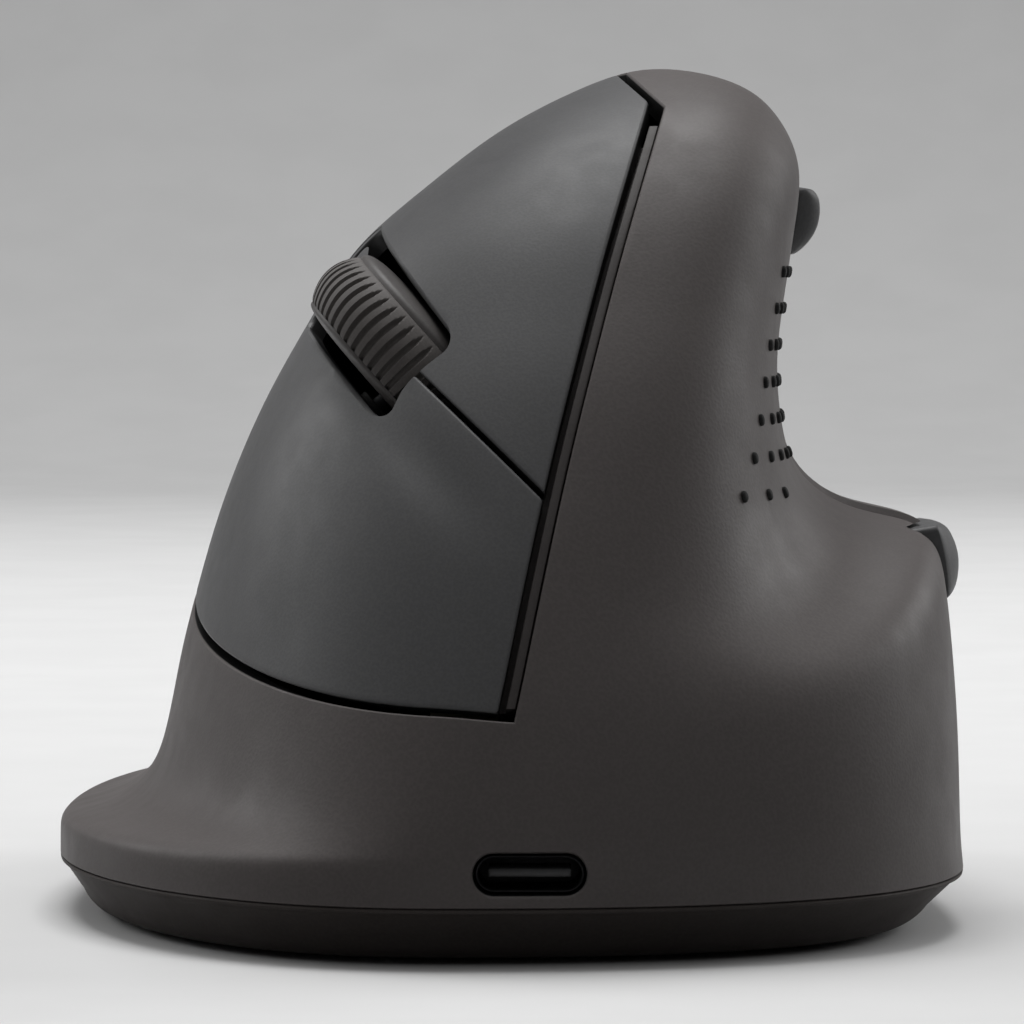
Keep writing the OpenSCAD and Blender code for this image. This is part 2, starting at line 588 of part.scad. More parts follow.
// Charging socket
usb_w = 8.94;
usb_h = 3.16;
usb_l = 7.3;
usb_wall = 0.3;
usb_in_w = usb_w - 2 * usb_wall;
usb_in_h = usb_h - 2 * usb_wall;
floor_z = foot_h + base_floor;
pcb_z = floor_z + pcb_lift;
usb_z = pcb_z + pcb_t + usb_h / 2;
usb_recess = 1.1;
usb_front = -half_l + usb_recess;
module pill(w, h) {
    square([w - h, h], center = true);
    for (s = [-1, 1]) translate([s * (w - h) / 2, 0]) circle(h / 2);
}
module nose_prism(y0, l) {
    translate([usb_x, y0 + l, usb_z]) rotate([90, 0, 0]) linear_extrude(l) children();
}

// Screw posts that tie the housing to the base, set in from the wall at these directions
post_turns = [38, 140, 222, 325];
case_post_r = 2.8;
screw_r = 1;
pilot_r = 0.85;
post_rise = 1.6;
post_level = 5.2;
post_inset = 2.2;
pilot_deep = 5;
// On the thumb side the posts stand further in, over the flat of the base, each on a rib to the wall
post_more = 4.4;
post_top = 10;
post_rib = 1.6;
function post_in(t) = shell_wall + post_inset + post_more * (1 + cos(t)) / 2;
function post_dir(t) = let (n = body_n(post_level, t)) unit([n[0], n[1]]);
function case_post(t) =
    let (p = body_pt(post_level, t), h = post_dir(t), d = post_in(t))
    [p[0] - d * h[0], p[1] - d * h[1], min(p[2] + post_rise, seam_h + post_top)];
module post_ribs() {
    for (t = post_turns) let (p = case_post(t), h = post_dir(t))
        translate([p[0], p[1], seam_h]) rotate([0, 0, atan2(h[1], h[0])])
            translate([0, -post_rib / 2, 0])
                cube([post_in(t) - shell_wall / 2, post_rib, p[2] - seam_h - shell_wall]);
}

module main_shell() {
    color(warm_grey) difference() {
        union() {
            housing();
            for (t = post_turns) let (p = case_post(t))
                translate([p[0], p[1], seam_h]) cylinder(r = case_post_r, h = p[2] - seam_h);
            post_ribs();
            thumb_place() arc_posts(thumb_f, thumb_slope, thumb_sag, thumb_posts);
            mode_place() arc_posts(mode_f, 0, mode_sag, mode_posts);
        }
        for (t = post_turns) let (p = case_post(t))
            translate([p[0], p[1], seam_h - over]) cylinder(r = pilot_r, h = pilot_deep + over);
        nose_prism(-half_l - over, cut_l) pill(usb_w + 2 * seat_play, usb_h + 2 * seat_play);
        thumb_place() {
            arc_hole(thumb_f[4], -thumb_end, thumb_end, thumb_cap_h, thumb_sag);
            arc_post_holes(thumb_f[4], thumb_sag, thumb_posts);
        }
        mode_place() {
            arc_hole(mode_f[4], -mode_turn / 2, mode_turn / 2, mode_cap_h, mode_sag);
            arc_post_holes(mode_f[4], mode_sag, mode_posts);
        }
    }
}

// Seam outline moved inward by d
outline_n = 54;
function seam_at(t, d) = let (p = body_pt(0, t), q = body_pt(0, t + 1) - body_pt(0, t - 1),
    n = unit([q[1], -q[0]]), e = d * (1 - base_skew * (1 - cos(t)) / 2))
    [p[0] - e * n[0], p[1] - e * n[1]];
function ring(d, z) = [for (i = [0 : outline_n - 1])
    let (p = seam_at((i + 0.5) * 360 / outline_n, d)) [p[0], p[1], z]];

// Base tray: chamfered outside, hollow inside
module base_tray() {
    n = outline_n;
    foot_in = base_chamfer + 2 * base_bevel;
    pts = concat(ring(foot_in, foot_h), ring(base_chamfer, foot_h + base_bevel),
        ring(0, seam_h), ring(base_wall, seam_h), ring(foot_in, floor_z),
        [[0, 0, foot_h], [0, 0, floor_z]]);
    sides = [for (k = [0 : 3], i = [0 : n - 1]) let (j = (i + 1) % n)
        each quad(k * n + i, k * n + j, (k + 1) * n + j, (k + 1) * n + i)];
    caps = [for (i = [0 : n - 1]) let (j = (i + 1) % n)
        each [[5 * n, i, j], [5 * n + 1, 4 * n + j, 4 * n + i]]];
    polyhedron(pts, concat(sides, caps), convexity = 4);
}

// Places on the base
leg_rear = 0.0491 * body_l;
leg_places = [[-12, -9], [-12, leg_rear], [2, leg_rear]];
channel_leg = [9.5, wheel_c[1]];
leg_r = 2.4;
standoff_places = [[-13, 16 - half_l], [15, 16 - half_l], [15, -3]];
standoff_r = 2.2;
sensor_at = [0, -0.1875 * body_l];
slider_at = [12.5, -0.125 * body_l];
foot_places = [[-26, -15, 84], [26.5, -20, -82], [-11.5, 42.5, 14], [6, 41, -18]];
foot_size = [15, 7];
foot_r = 2.9;
foot_sunk = 0.3;
head_r = 2;
head_h = 1;
screw_play = 0.15;
sensor_window = [10, 7];
module each_leg() {
    for (p = concat(leg_places, [channel_leg])) translate([p[0], p[1], 0]) children();
}
module each_standoff() {
    for (p = standoff_places) translate([p[0], p[1], 0]) children();
}
module each_post() {
    for (t = post_turns) let (p = case_post(t)) translate([p[0], p[1], 0]) children();
}
module each_foot() {
    for (p = foot_places) translate([p[0], p[1], 0]) rotate([0, 0, p[2]]) children();
}
module screw_hole() {
    cylinder(r = screw_r + screw_play, h = cut_l);
    cylinder(r = head_r + 2 * seat_play, h = foot_h + head_h + 2 * seat_play);
}
module rounded_slot(l, w, r) {
    square([l - 2 * r, w], center = true);
    square([l, w - 2 * r], center = true);
    for (x = [-1, 1], y = [-1, 1]) translate([x * (l / 2 - r), y * (w / 2 - r)]) circle(r);
}
knob_l = 4;
knob_w = 2.6;
knob_lift = 0.2;
knob_play = 0.3;
module bottom_shell() {
    color(dark_grey) difference() {
        union() {
            base_tray();
            each_standoff() translate([0, 0, floor_z - lap])
                cylinder(r = standoff_r, h = pcb_lift + lap);
            each_post() translate([0, 0, floor_z - lap])
                cylinder(r = case_post_r, h = seam_h - floor_z + lap);
        }
        each_foot() translate([0, 0, foot_h - over]) linear_extrude(over + foot_sunk)
            rounded_slot(foot_size[0] + 2 * seat_play, foot_size[1] + 2 * seat_play, foot_r + seat_play);
        each_post() screw_hole();
        each_leg() screw_hole();
        each_standoff() translate([0, 0, foot_h + over]) cylinder(r = pilot_r, h = cut_l);
        translate([sensor_at[0], sensor_at[1], 0])
            linear_extrude(cut_l) pill(sensor_window[0], sensor_window[1]);
        translate([slider_at[0], slider_at[1], 0]) linear_extrude(cut_l)
            square([knob_l + slider_travel + 2 * knob_play, knob_w + 2 * knob_play], center = true);
    }
}

module finger_key(upper, hinge_at, boss_at) {
    color(cool_grey) difference() {
        union() {
            difference() {
                key_plate(upper);
                wheel_slot();
            }
            knuckle(hinge_at);
            key_boss(boss_at);
        }
        hinge_bore(pin_r + pin_play);
    }
}
module upper_key() { finger_key(true, upper_knuckle, upper_boss); }
module lower_key() { finger_key(false, lower_knuckle, lower_boss); }
module key_hinge_pin() {
    color(steel) finger_frame() translate([ear_x[0] - ear_w / 2, pin_local_y, pin_z])
        rotate([0, 90, 0]) cylinder(r = pin_r, h = ear_x[3] - ear_x[0] + ear_w);
}

// Strip along the nose: a floor under the gap beside the keys, with a flange behind the housing
strip_steps = 16;
strip_levels = [6.25, 15.25];
web_depth = 0.7;
web_play = 0.06;
web_swing = 0.68;
strip_under = 1.2;
strip_flange = 5;
strip_t = 1.2;
module front_strip() {
    deep = shell_wall + 2 * seat_play;
    low = strip_depth + strip_t;
    function strip_ring(u) =
        let (a = nose_turn(u, -strip_w / 2 - strip_under), e = nose_turn(u, web_swing - strip_w / 2),
            b = nose_turn(u, strip_w / 2 - web_play), c = turn(u, b, strip_flange))
        [inside_pt(u, a, strip_depth), inside_pt(u, e, strip_depth), inside_pt(u, e, web_depth),
            inside_pt(u, b, web_depth), inside_pt(u, b, deep), inside_pt(u, c, deep),
            inside_pt(u, c, low), inside_pt(u, a, low)];
    k = 8;
    pts = [for (i = [0 : strip_steps])
        each strip_ring(mix(strip_levels[0], strip_levels[1], i / strip_steps))];
    sides = [for (i = [0 : strip_steps - 1], j = [0 : k - 1]) let (m = (j + 1) % k)
        each quad(i * k + j, i * k + m, (i + 1) * k + m, (i + 1) * k + j)];
    faces = [[1, 2, 3], [1, 3, 4], [7, 0, 1], [7, 1, 4], [7, 4, 6], [4, 5, 6]];
    last = strip_steps * k;
    ends = concat(faces, [for (f = faces) [last + f[0], last + f[2], last + f[1]]]);
    color(dark_grey) polyhedron(pts, concat(sides, ends), convexity = 6);
}

// Wheel carriage sizes in the finger frame
axle_r = axle_d / 2;
cheek_in = wheel_w / 2 + 0.4;
cheek_t = 1.6;
cheek_out = cheek_in + cheek_t;
cheek_r = axle_r + 1;
cheek_low = -wheel_r - 1.2;
yoke_t = 2;
yoke_l = 8;
yoke_h = 6;
guide_play = 0.3;
wall_t = 1.6;
wall_out = cheek_out + guide_play + wall_t;
plate_low = cheek_low - yoke_t;
mid_switch_top = plate_low - wheel_travel - seat_play - plunger_h;
channel_floor = mid_switch_top - switch_h;
deck_front = wheel_r + 1.8;
deck_x = [lower_knuckle[0] - 5, upper_boss[0] + 4];
deck_rear = pin_local_y + knuckle_r;
recess_play = 0.4;
recess_deep = 0.8;
tall_cut = body_h + cut_l;
module clip_below(z) {
    finger_frame() translate([-tall_cut, -tall_cut, z - 2 * tall_cut]) cube(2 * tall_cut);
}
module frame_leg(p, z) {
    intersection() {
        translate([p[0], p[1], floor_z]) cylinder(r = leg_r, h = tall_cut);
        clip_below(z);
    }
}
module inner_frame() {
    color(dark_grey) difference() {
        union() {
            finger_frame() {
                translate([deck_x[0], deck_front, deck_z - deck_t])
                    cube([deck_x[1] - deck_x[0], deck_rear - deck_front, deck_t]);
                for (m = [0, 1]) mirror([m, 0, 0]) {
                    translate([cheek_out + guide_play, -yoke_l / 2, deck_z - deck_t])
                        cube([wall_t, deck_front + yoke_l / 2 + over, deck_t]);
                    translate([cheek_out + guide_play, -yoke_l / 2, channel_floor - yoke_t])
                        cube([wall_t, yoke_l, deck_z - channel_floor + yoke_t]);
                }
                translate([-wall_out, -yoke_l / 2, channel_floor - yoke_t])
                    cube([2 * wall_out, yoke_l, yoke_t]);
                for (x = ear_x) translate([x - ear_w / 2, pin_local_y, 0]) {
                    translate([0, 0, pin_z]) rotate([0, 90, 0]) cylinder(r = knuckle_r, h = ear_w);
                    translate([0, -ear_d / 2, deck_z - lap])
                        cube([ear_w, ear_d, pin_z - deck_z + lap]);
                }
            }
            for (p = leg_places) frame_leg(p, deck_z - deck_t / 2);
            frame_leg(channel_leg, channel_floor - yoke_t / 2);
        }
        hinge_bore(pin_r + pin_play);
        each_leg() translate([0, 0, floor_z - over]) cylinder(r = pilot_r, h = pilot_deep + 2 * over);
        finger_frame() for (s = [lower_knuckle, upper_knuckle])
            translate([s[0] - knuckle_w / 2 - knuckle_play / 2, pin_local_y - knuckle_r - recess_play,
                deck_z - recess_deep])
                cube([knuckle_w + knuckle_play, 2 * (knuckle_r + over), recess_deep + 2 * over]);
    }
}

// Button board with its two key switches
board_rear = pin_local_y - knuckle_r - 2;
board_margin = 0.4;
ribbon_w = 6;
ribbon_t = 0.4;
plug_l = 3.2;
plug_h = 1.8;
module button_board() {
    color(pcb_green) finger_frame() {
        translate([deck_x[0] + board_margin, deck_front + board_margin, deck_z])
            cube([deck_x[1] - deck_x[0] - 2 * board_margin, board_rear - deck_front - board_margin, pcb_t]);
        translate([-ribbon_w / 2 - over, deck_front - over, board_top])
            cube([ribbon_w + 2 * over, plug_l, plug_h]);
    }
}
switch_w = 5.8;
switch_l = 12.8;
plunger_r = 1.1;
plunger_ahead = 4.5;
module key_switch(at) {
    color(black) finger_frame() {
        translate([at[0] - switch_w / 2, at[1] - plunger_ahead, board_top])
            cube([switch_w, switch_l, switch_h]);
        translate([at[0], at[1], switch_top]) cylinder(r = plunger_r, h = plunger_h);
    }
}
module upper_switch() { key_switch(upper_boss); }
module lower_switch() { key_switch(lower_boss); }

// Wheel: a ribbed tyre on a hub with domed sides
tyre_t = 1.7;
tyre_in = wheel_r - tyre_t;
crown = 1;
hub_edge = crown + 0.1;
function hub_side(d) = concat([[tyre_in, tread_w / 2]],
    [for (a = [0 : 15 : 90]) [mix(2 * axle_r, wheel_r - hub_edge, pow(cos(a), 2 / 3)),
        tread_w / 2 + d * pow(sin(a), 2 / 3)]], [[axle_r + press_play, tread_w / 2 + d]]);
module wheel_hub() {
    high = hub_side(hub_dome);
    low = hub_side(low_dome);
    profile = concat([[tyre_in, 0]], high,
        [for (i = [len(low) - 1 : -1 : 0]) [low[i][0], -low[i][1]]]);
    color(warm_grey) finger_frame() rotate([0, 90, 0]) rotate_extrude() polygon(profile);
}
// Where a rib starts and ends and its groove starts and ends, as shares of the rib pitch
rib_shape = [0, 0.3, 0.5, 0.8];
rib_pts = [for (i = [0 : rib_count - 1], k = [0 : 3])
    let (a = (i + rib_shape[k]) * 360 / rib_count, r = k < 2 ? wheel_r : wheel_r - rib_depth)
    [r * cos(a), r * sin(a)]];
module wheel_tyre() {
    crest = wheel_r + pin_play;
    bend = [[1, 1], [0.62, 0.34], [0.28, 0]];
    arc = [for (q = bend) [crest - crown * q[1], q[0] * tread_w / 2]];
    color(warm_grey) finger_frame() rotate([0, 90, 0]) intersection() {
        translate([0, 0, -tread_w / 2]) linear_extrude(tread_w) difference() {
            polygon(rib_pts);
            circle(tyre_in + press_play);
        }
        rotate_extrude() polygon(concat([[0, -tread_w / 2]], [for (q = arc) [q[0], -q[1]]],
            [for (i = [2 : -1 : 0]) arc[i]], [[0, tread_w / 2]]));
    }
}
encoder_w = 3;
encoder_gap = 0.2;
encoder_l = 8;
encoder_h = 7.4;
encoder_drop = 4.2;
axle_end = cheek_out + encoder_gap + encoder_w;
module wheel_axle() {
    color(steel) finger_frame() translate([-cheek_out, 0, 0]) rotate([0, 90, 0])
        cylinder(r = axle_r, h = cheek_out + axle_end - lap);
}
module wheel_carriage() {
    color(black) finger_frame() difference() {
        union() {
            for (m = [0, 1]) mirror([m, 0, 0]) {
                translate([cheek_in, 0, 0]) rotate([0, 90, 0]) cylinder(r = cheek_r, h = cheek_t);
                translate([cheek_in, -cheek_r, plate_low]) cube([cheek_t, 2 * cheek_r, -plate_low]);
                translate([cheek_in, -yoke_l / 2, plate_low]) cube([cheek_t, yoke_l, yoke_h]);
            }
            translate([-cheek_out, -yoke_l / 2, plate_low]) cube([2 * cheek_out, yoke_l, yoke_t]);
        }
        translate([-cut_l, 0, 0]) rotate([0, 90, 0]) cylinder(r = axle_r + pin_play, h = 2 * cut_l);
    }
}
module wheel_encoder() {
    color(pcb_green) finger_frame() difference() {
        translate([cheek_out + encoder_gap / 2, -encoder_l / 2, -encoder_drop])
            cube([encoder_w + encoder_gap / 2, encoder_l, encoder_h]);
        rotate([0, 90, 0]) cylinder(r = axle_r + pin_play, h = axle_end + over);
    }
}
mid_plunger_x = -1.5;
module middle_switch() {
    color(black) finger_frame() {
        translate([-cheek_out, -switch_w / 2, channel_floor]) cube([2 * cheek_out, switch_w, switch_h]);
        translate([mid_plunger_x, 0, mid_switch_top]) cylinder(r = plunger_r, h = plunger_h);
    }
}

module forward_button() {
    color(cool_grey) thumb_place()
        arc_cap(thumb_profile, thumb_f[4], -thumb_end, -thumb_half_gap,
            thumb_cap_h, thumb_proud, thumb_sag, cap_lip, -thumb_mid_lip, thumb_top_lip);
}
module back_button() {
    color(cool_grey) thumb_place()
        arc_cap(thumb_profile, thumb_f[4], thumb_half_gap, thumb_end,
            thumb_cap_h, thumb_proud, thumb_sag, -thumb_mid_lip, cap_lip, thumb_top_lip);
}
module thumb_board() {
    color(pcb_green) thumb_place()
        arc_board(thumb_f[4], thumb_sag, thumb_posts, board_more / thumb_f[4] * 180 / PI, side_board_h);
}
module thumb_switches() {
    color(black) thumb_place() for (s = [-1, 1]) tact_switch(thumb_f[4], thumb_sag, s * thumb_mid);
}
module thumb_screws() {
    color(steel) thumb_place() arc_screws(thumb_f[4], thumb_sag, thumb_posts);
}
module mode_button() {
    color(cool_grey) mode_place()
        arc_cap(mode_profile, mode_f[4], -mode_turn / 2, mode_turn / 2,
            mode_cap_h, mode_proud, mode_sag, cap_lip, cap_lip, mode_top_lip);
}
module mode_board() {
    color(pcb_green) mode_place()
        arc_board(mode_f[4], mode_sag, mode_posts, board_more / mode_f[4] * 180 / PI, side_board_h);
}
module mode_switch() { color(black) mode_place() tact_switch(mode_f[4], mode_sag, 0); }
module mode_screws() { color(steel) mode_place() arc_screws(mode_f[4], mode_sag, mode_posts); }

// Grip pips: oval studs in rows on the thumb wall, the rows stepping forward as they go down
pip_top_z = 56.1;
pip_front_y = -25.5;
pip_step = 1.85;
pip_bend = 0.1;
pip_spread = 0.3;
pip_fewer = [0, 0, 0, 1, 2, 3, 5];
pip_l = 1;
pip_w = 0.75;
pip_lift = 0.16;
function pip_row(i) = max(1, pip_cols - pip_fewer[min(i, len(pip_fewer) - 1)]);
module grip_pips() {
    color(black) for (i = [0 : pip_rows - 1], j = [0 : pip_row(i) - 1]) {
        z = at_height(pip_top_z - i * pip_pitch);
        y = pip_front_y - i * pip_step - i * i * pip_bend + j * (pip_reach + i * pip_spread);
        g = side_ut(1, y, z);
        n = body_n(g[0], g[1]);
        e = unit(cross([0, 0, 1], n));
        place_frame([body_pt(g[0], g[1]) + pip_lift * n, e, cross(n, e), n])
            linear_extrude(pip_h) rotate([0, 0, 90]) pill(pip_l, pip_w);
    }
}

// Main board and what it carries
board_x = [-17, 18];
board_y = [usb_front + usb_l - 0.4, 2];
hole_r = leg_r + lap;
sensor_hole_r = 2.5;
lever_l = 1.6;
lever_w = 1.4;
lever_in = 0.4;
module main_board() {
    color(pcb_green) translate([0, 0, pcb_z]) linear_extrude(pcb_t) difference() {
        translate([board_x[0], board_y[0]]) square([board_x[1] - board_x[0], board_y[1] - board_y[0]]);
        for (p = [leg_places[0], channel_leg]) translate([p[0], p[1]]) circle(hole_r);
        for (p = standoff_places) translate([p[0], p[1]]) circle(screw_r + seat_play);
        translate(sensor_at) circle(sensor_hole_r);
        translate(slider_at)
            square([lever_l + slider_travel + 2 * knob_play, lever_w + 2 * knob_play], center = true);
    }
}
chip_at = [-7, 17 - half_l];
chip_size = [7, 7, 0.9];
module controller_chip() {
    color(black) translate([chip_at[0], chip_at[1], pcb_z + pcb_t]) cube(chip_size);
}
sensor_size = [10, 11, 2.6];
sensor_eye_r = 0.8;
module sensor() {
    color(black) translate([sensor_at[0], sensor_at[1], pcb_z + pcb_t]) difference() {
        translate([-sensor_size[0] / 2, -sensor_size[1] / 2, 0]) cube(sensor_size);
        translate([0, 0, -over]) cylinder(r = sensor_eye_r, h = 2 * over);
    }
}
lens_size = [11, 12];
lens_recess = 0.6;
module sensor_lens() {
    color(pale) translate([sensor_at[0], sensor_at[1], 0]) {
        translate([-lens_size[0] / 2, -lens_size[1] / 2, floor_z])
            cube([lens_size[0], lens_size[1], pcb_lift]);
        translate([0, 0, foot_h + lens_recess]) linear_extrude(floor_z - foot_h)
            pill(sensor_window[0] - 4 * seat_play, sensor_window[1] - 4 * seat_play);
    }
}
battery_at = [-2, 0.2321 * body_l];
battery_r = 2;
module battery() {
    color(pale) translate([battery_at[0], battery_at[1], floor_z])
        linear_extrude(battery_t) rounded_slot(battery_w, battery_l, battery_r);
}
ribbon_set = 0.8;
module ribbon_cable() {
    at = wheel_c + board_top * out_dir;
    color(pale) intersection() {
        translate([at[0] - ribbon_w / 2 + ribbon_set, at[1] + deck_front - ribbon_set, pcb_z + pcb_t])
            cube([ribbon_w, ribbon_t, tall_cut]);
        clip_below(board_top);
    }
}
module usb_shell() {
    color(steel) difference() {
        nose_prism(usb_front, usb_l) pill(usb_w, usb_h);
        nose_prism(usb_front - over, usb_l) pill(usb_in_w, usb_in_h);
    }
}
tongue_w = 6.69;
tongue_t = 0.7;
tongue_set = 0.8;
tongue_root = 1.2;
module usb_tongue() {
    root = usb_front + usb_l - over - tongue_root;
    color(black) {
        nose_prism(usb_front + tongue_set, usb_l - over - tongue_set)
            square([tongue_w, tongue_t], center = true);
        nose_prism(root, tongue_root) pill(usb_in_w - seat_play, usb_in_h - seat_play);
    }
}
// The slider rests at one end of its travel
slider_rest = -slider_travel / 2;
knob_flange = 1;
knob_flange_t = 0.9;
module power_slider() {
    flange_z = floor_z + knob_lift;
    color(black) translate([slider_at[0] + slider_rest, slider_at[1], 0]) {
        translate([-knob_l / 2, -knob_w / 2, foot_h + knob_lift]) cube([knob_l, knob_w, base_floor]);
        translate([-knob_l / 2 - knob_flange, -knob_w / 2 - knob_flange, flange_z])
            cube([knob_l + 2 * knob_flange, knob_w + 2 * knob_flange, knob_flange_t]);
        translate([-lever_l / 2, -lever_w / 2, flange_z])
            cube([lever_l, lever_w, pcb_z + pcb_t + lever_in - flange_z]);
    }
}
power_size = [9, 5, 3];
power_recess = 1.4;
module power_switch() {
    slot_l = lever_l + slider_travel + 2 * knob_play;
    slot_w = lever_w + 2 * knob_play;
    color(steel) translate([slider_at[0], slider_at[1], pcb_z + pcb_t]) difference() {
        translate([-power_size[0] / 2, -power_size[1] / 2, 0]) cube(power_size);
        translate([-slot_l / 2, -slot_w / 2, -over]) cube([slot_l, slot_w, power_recess + over]);
    }
}
module glide_feet() {
    color(dark_grey) each_foot()
        linear_extrude(foot_h + foot_sunk) rounded_slot(foot_size[0], foot_size[1], foot_r);
}
case_screw_l = 8.5;
frame_screw_l = 6.5;
board_screw_l = 3.7;
board_bite = 2;
board_head_r = 1.6;
module screw(l) {
    translate([0, 0, foot_h + 2 * seat_play]) {
        cylinder(r = head_r, h = head_h);
        cylinder(r = pilot_r - press_play, h = l);
    }
}
module case_screws() { color(steel) each_post() screw(case_screw_l); }
module frame_screws() { color(steel) each_leg() screw(frame_screw_l); }
module board_screws() {
    color(steel) each_standoff() {
        translate([0, 0, pcb_z + pcb_t]) cylinder(r = board_head_r, h = head_h);
        translate([0, 0, pcb_z - board_bite]) cylinder(r = pilot_r - press_play, h = board_screw_l);
    }
}

main_shell();
bottom_shell();
upper_key();
lower_key();
key_hinge_pin();
front_strip();
inner_frame();
button_board();
upper_switch();
lower_switch();
wheel_hub();
wheel_tyre();
wheel_axle();
wheel_carriage();
wheel_encoder();
middle_switch();
forward_button();
back_button();
thumb_board();
thumb_switches();
thumb_screws();
mode_button();
mode_board();
mode_switch();
mode_screws();
grip_pips();
main_board();
controller_chip();
sensor();
sensor_lens();
battery();
ribbon_cable();
usb_shell();
usb_tongue();
power_slider();
power_switch();
glide_feet();
case_screws();
frame_screws();
board_screws();
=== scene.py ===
"""Looks of a right-hand vertical mouse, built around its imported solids.

The surfaces follow the same level curves as the solids, at a finer pitch and with rounded
edges. Lengths in the classes are millimetres in the part's own frame; meshes are in metres.
"""
import json
import logging
import math
from dataclasses import dataclass, field
from enum import Enum
from typing import Callable, Iterable, Sequence

import bpy
import numpy as np
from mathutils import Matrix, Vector
from mathutils.bvhtree import BVHTree


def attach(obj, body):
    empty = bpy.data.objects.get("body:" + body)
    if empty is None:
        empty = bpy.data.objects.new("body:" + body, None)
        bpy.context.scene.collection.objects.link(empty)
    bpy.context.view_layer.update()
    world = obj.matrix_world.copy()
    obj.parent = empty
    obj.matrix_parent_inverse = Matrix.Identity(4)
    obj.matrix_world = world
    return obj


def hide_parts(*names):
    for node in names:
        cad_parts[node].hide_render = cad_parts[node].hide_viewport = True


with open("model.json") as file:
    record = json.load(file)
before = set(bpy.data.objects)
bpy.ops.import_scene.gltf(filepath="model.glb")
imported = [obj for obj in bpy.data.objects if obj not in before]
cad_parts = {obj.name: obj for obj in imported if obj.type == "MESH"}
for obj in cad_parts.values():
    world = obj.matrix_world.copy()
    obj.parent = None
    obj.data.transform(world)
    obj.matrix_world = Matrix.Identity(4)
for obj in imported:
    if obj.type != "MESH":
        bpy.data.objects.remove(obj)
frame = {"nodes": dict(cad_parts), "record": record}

LOG = logging.getLogger("mouse")
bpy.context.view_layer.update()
MM = 0.001
Array = np.ndarray


class Body(Enum):
    """The bodies that pieces ride on."""

    HOUSING = "housing"
    UPPER_KEY = "upper_key"
    LOWER_KEY = "lower_key"
    WHEEL = "wheel"
    FORWARD = "forward_button"
    BACK = "back_button"
    MODE = "mode_button"
    SLIDER = "power_slider"


class Slot(Enum):
    """The record's material slots."""

    BODY = "body"
    KEYS = "keys"
    BASE = "base"
    FRAME = "frame"
    TREAD = "wheel_tread"
    CORE = "wheel_core"
    METAL = "metal"
    SOCKET = "socket"
    BOARD = "board"
    SWITCH = "switch"
    LENS = "lens"
    CELL = "cell"
    FLEX = "flex"
    GLIDE = "glide"


# ---------------------------------------------------------------- small maths


def unit(v: Array) -> Array:
    """Unit vectors along the last axis."""
    v = np.asarray(v, float)
    return v / np.linalg.norm(v, axis=-1, keepdims=True)


def mix(a: Array | float, b: Array | float, f: Array | float) -> Array | float:
    """Straight mix from a to b."""
    return a + (b - a) * f


def smooth_step(lo: float, hi: float, v: Array | float) -> Array:
    """Smooth ramp from 0 at lo to 1 at hi."""
    f = np.clip((np.asarray(v, float) - lo) / (hi - lo), 0, 1)
    return f * f * (3 - 2 * f)


def catmull_rom(a: Array, b: Array, c: Array, d: Array, f: Array) -> Array:
    """Catmull-Rom spline between b and c, with a and d beside them, at shares f."""
    return b + f * ((c - a) / 2 + f * ((2 * a - 5 * b + 4 * c - d) / 2 + f * (3 * b - a - 3 * c + d) / 2))


def fillet_steps(radius: float, steps: int = 6) -> Array:
    """Distances from an edge at which a fillet of this radius is sampled."""
    return radius * (1 - np.cos(np.linspace(0, math.pi / 2, steps + 1)))


def fillet_drop(radius: float, a: Array, b: Array) -> Array:
    """Depth below the face of a plate at distances a and b from its edges.

    Args:
        radius: Radius of the rounded edge.
        a: Distance from the nearest end edge.
        b: Distance from the nearest long edge.

    Returns:
        Depth at each point.
    """
    da = np.maximum(0, radius - a)
    db = np.maximum(0, radius - b)
    return radius - np.sqrt(np.maximum(radius**2 - da**2 - db**2, 0))


def outward(loop: Array, normals: Array) -> Array:
    """Directions that move a closed loop outward in its surface, mitred at corners.

    Args:
        loop: Points of the loop, counter-clockwise seen from outside.
        normals: Surface normals at the points.

    Returns:
        One direction for each point; its length makes parallel edges.
    """
    ahead = np.cross(unit(np.roll(loop, -1, 0) - loop), normals)
    behind = np.roll(ahead, 1, 0)
    return (ahead + behind) / (1 + np.sum(ahead * behind, -1, keepdims=True))


def inset(outline: Array, d: float) -> Array:
    """A closed counter-clockwise 2D outline moved inward by d."""
    flat = np.column_stack([outline, np.zeros(len(outline))])
    up = np.tile([0.0, 0.0, 1.0], (len(outline), 1))
    return outline - d * outward(flat, up)[:, :2]


def rounded_outline(corners: Sequence[tuple[float, float]], radius: float, pitch: float) -> Array:
    """A closed outline with rounded corners and evenly spread points.

    Args:
        corners: Corner points, counter-clockwise.
        radius: Radius at each corner.
        pitch: Largest distance between points on the straight parts.

    Returns:
        Points of the outline.
    """
    pts = np.array(corners, float)
    out: list[Array] = []
    ends = []
    for i, p in enumerate(pts):
        a = unit(pts[i - 1] - p)
        b = unit(pts[(i + 1) % len(pts)] - p)
        half = math.acos(np.clip(a @ b, -1, 1)) / 2
        reach = radius / math.tan(half)
        centre = p + unit(a + b) * radius / math.sin(half)
        start, stop = p + a * reach - centre, p + b * reach - centre
        turn = math.atan2(start[0] * stop[1] - start[1] * stop[0], start @ stop)
        arc = []
        for f in np.linspace(0, 1, 9):
            c, s = math.cos(turn * f), math.sin(turn * f)
            arc.append(centre + [c * start[0] - s * start[1], s * start[0] + c * start[1]])
        ends.append(np.array(arc))
    for i, arc in enumerate(ends):
        following = ends[(i + 1) % len(ends)][0]
        out.append(arc)
        count = int(np.linalg.norm(following - arc[-1]) / pitch)
        for k in range(1, count):
            out.append(mix(arc[-1], following, k / count)[None])
    return np.concatenate(out)


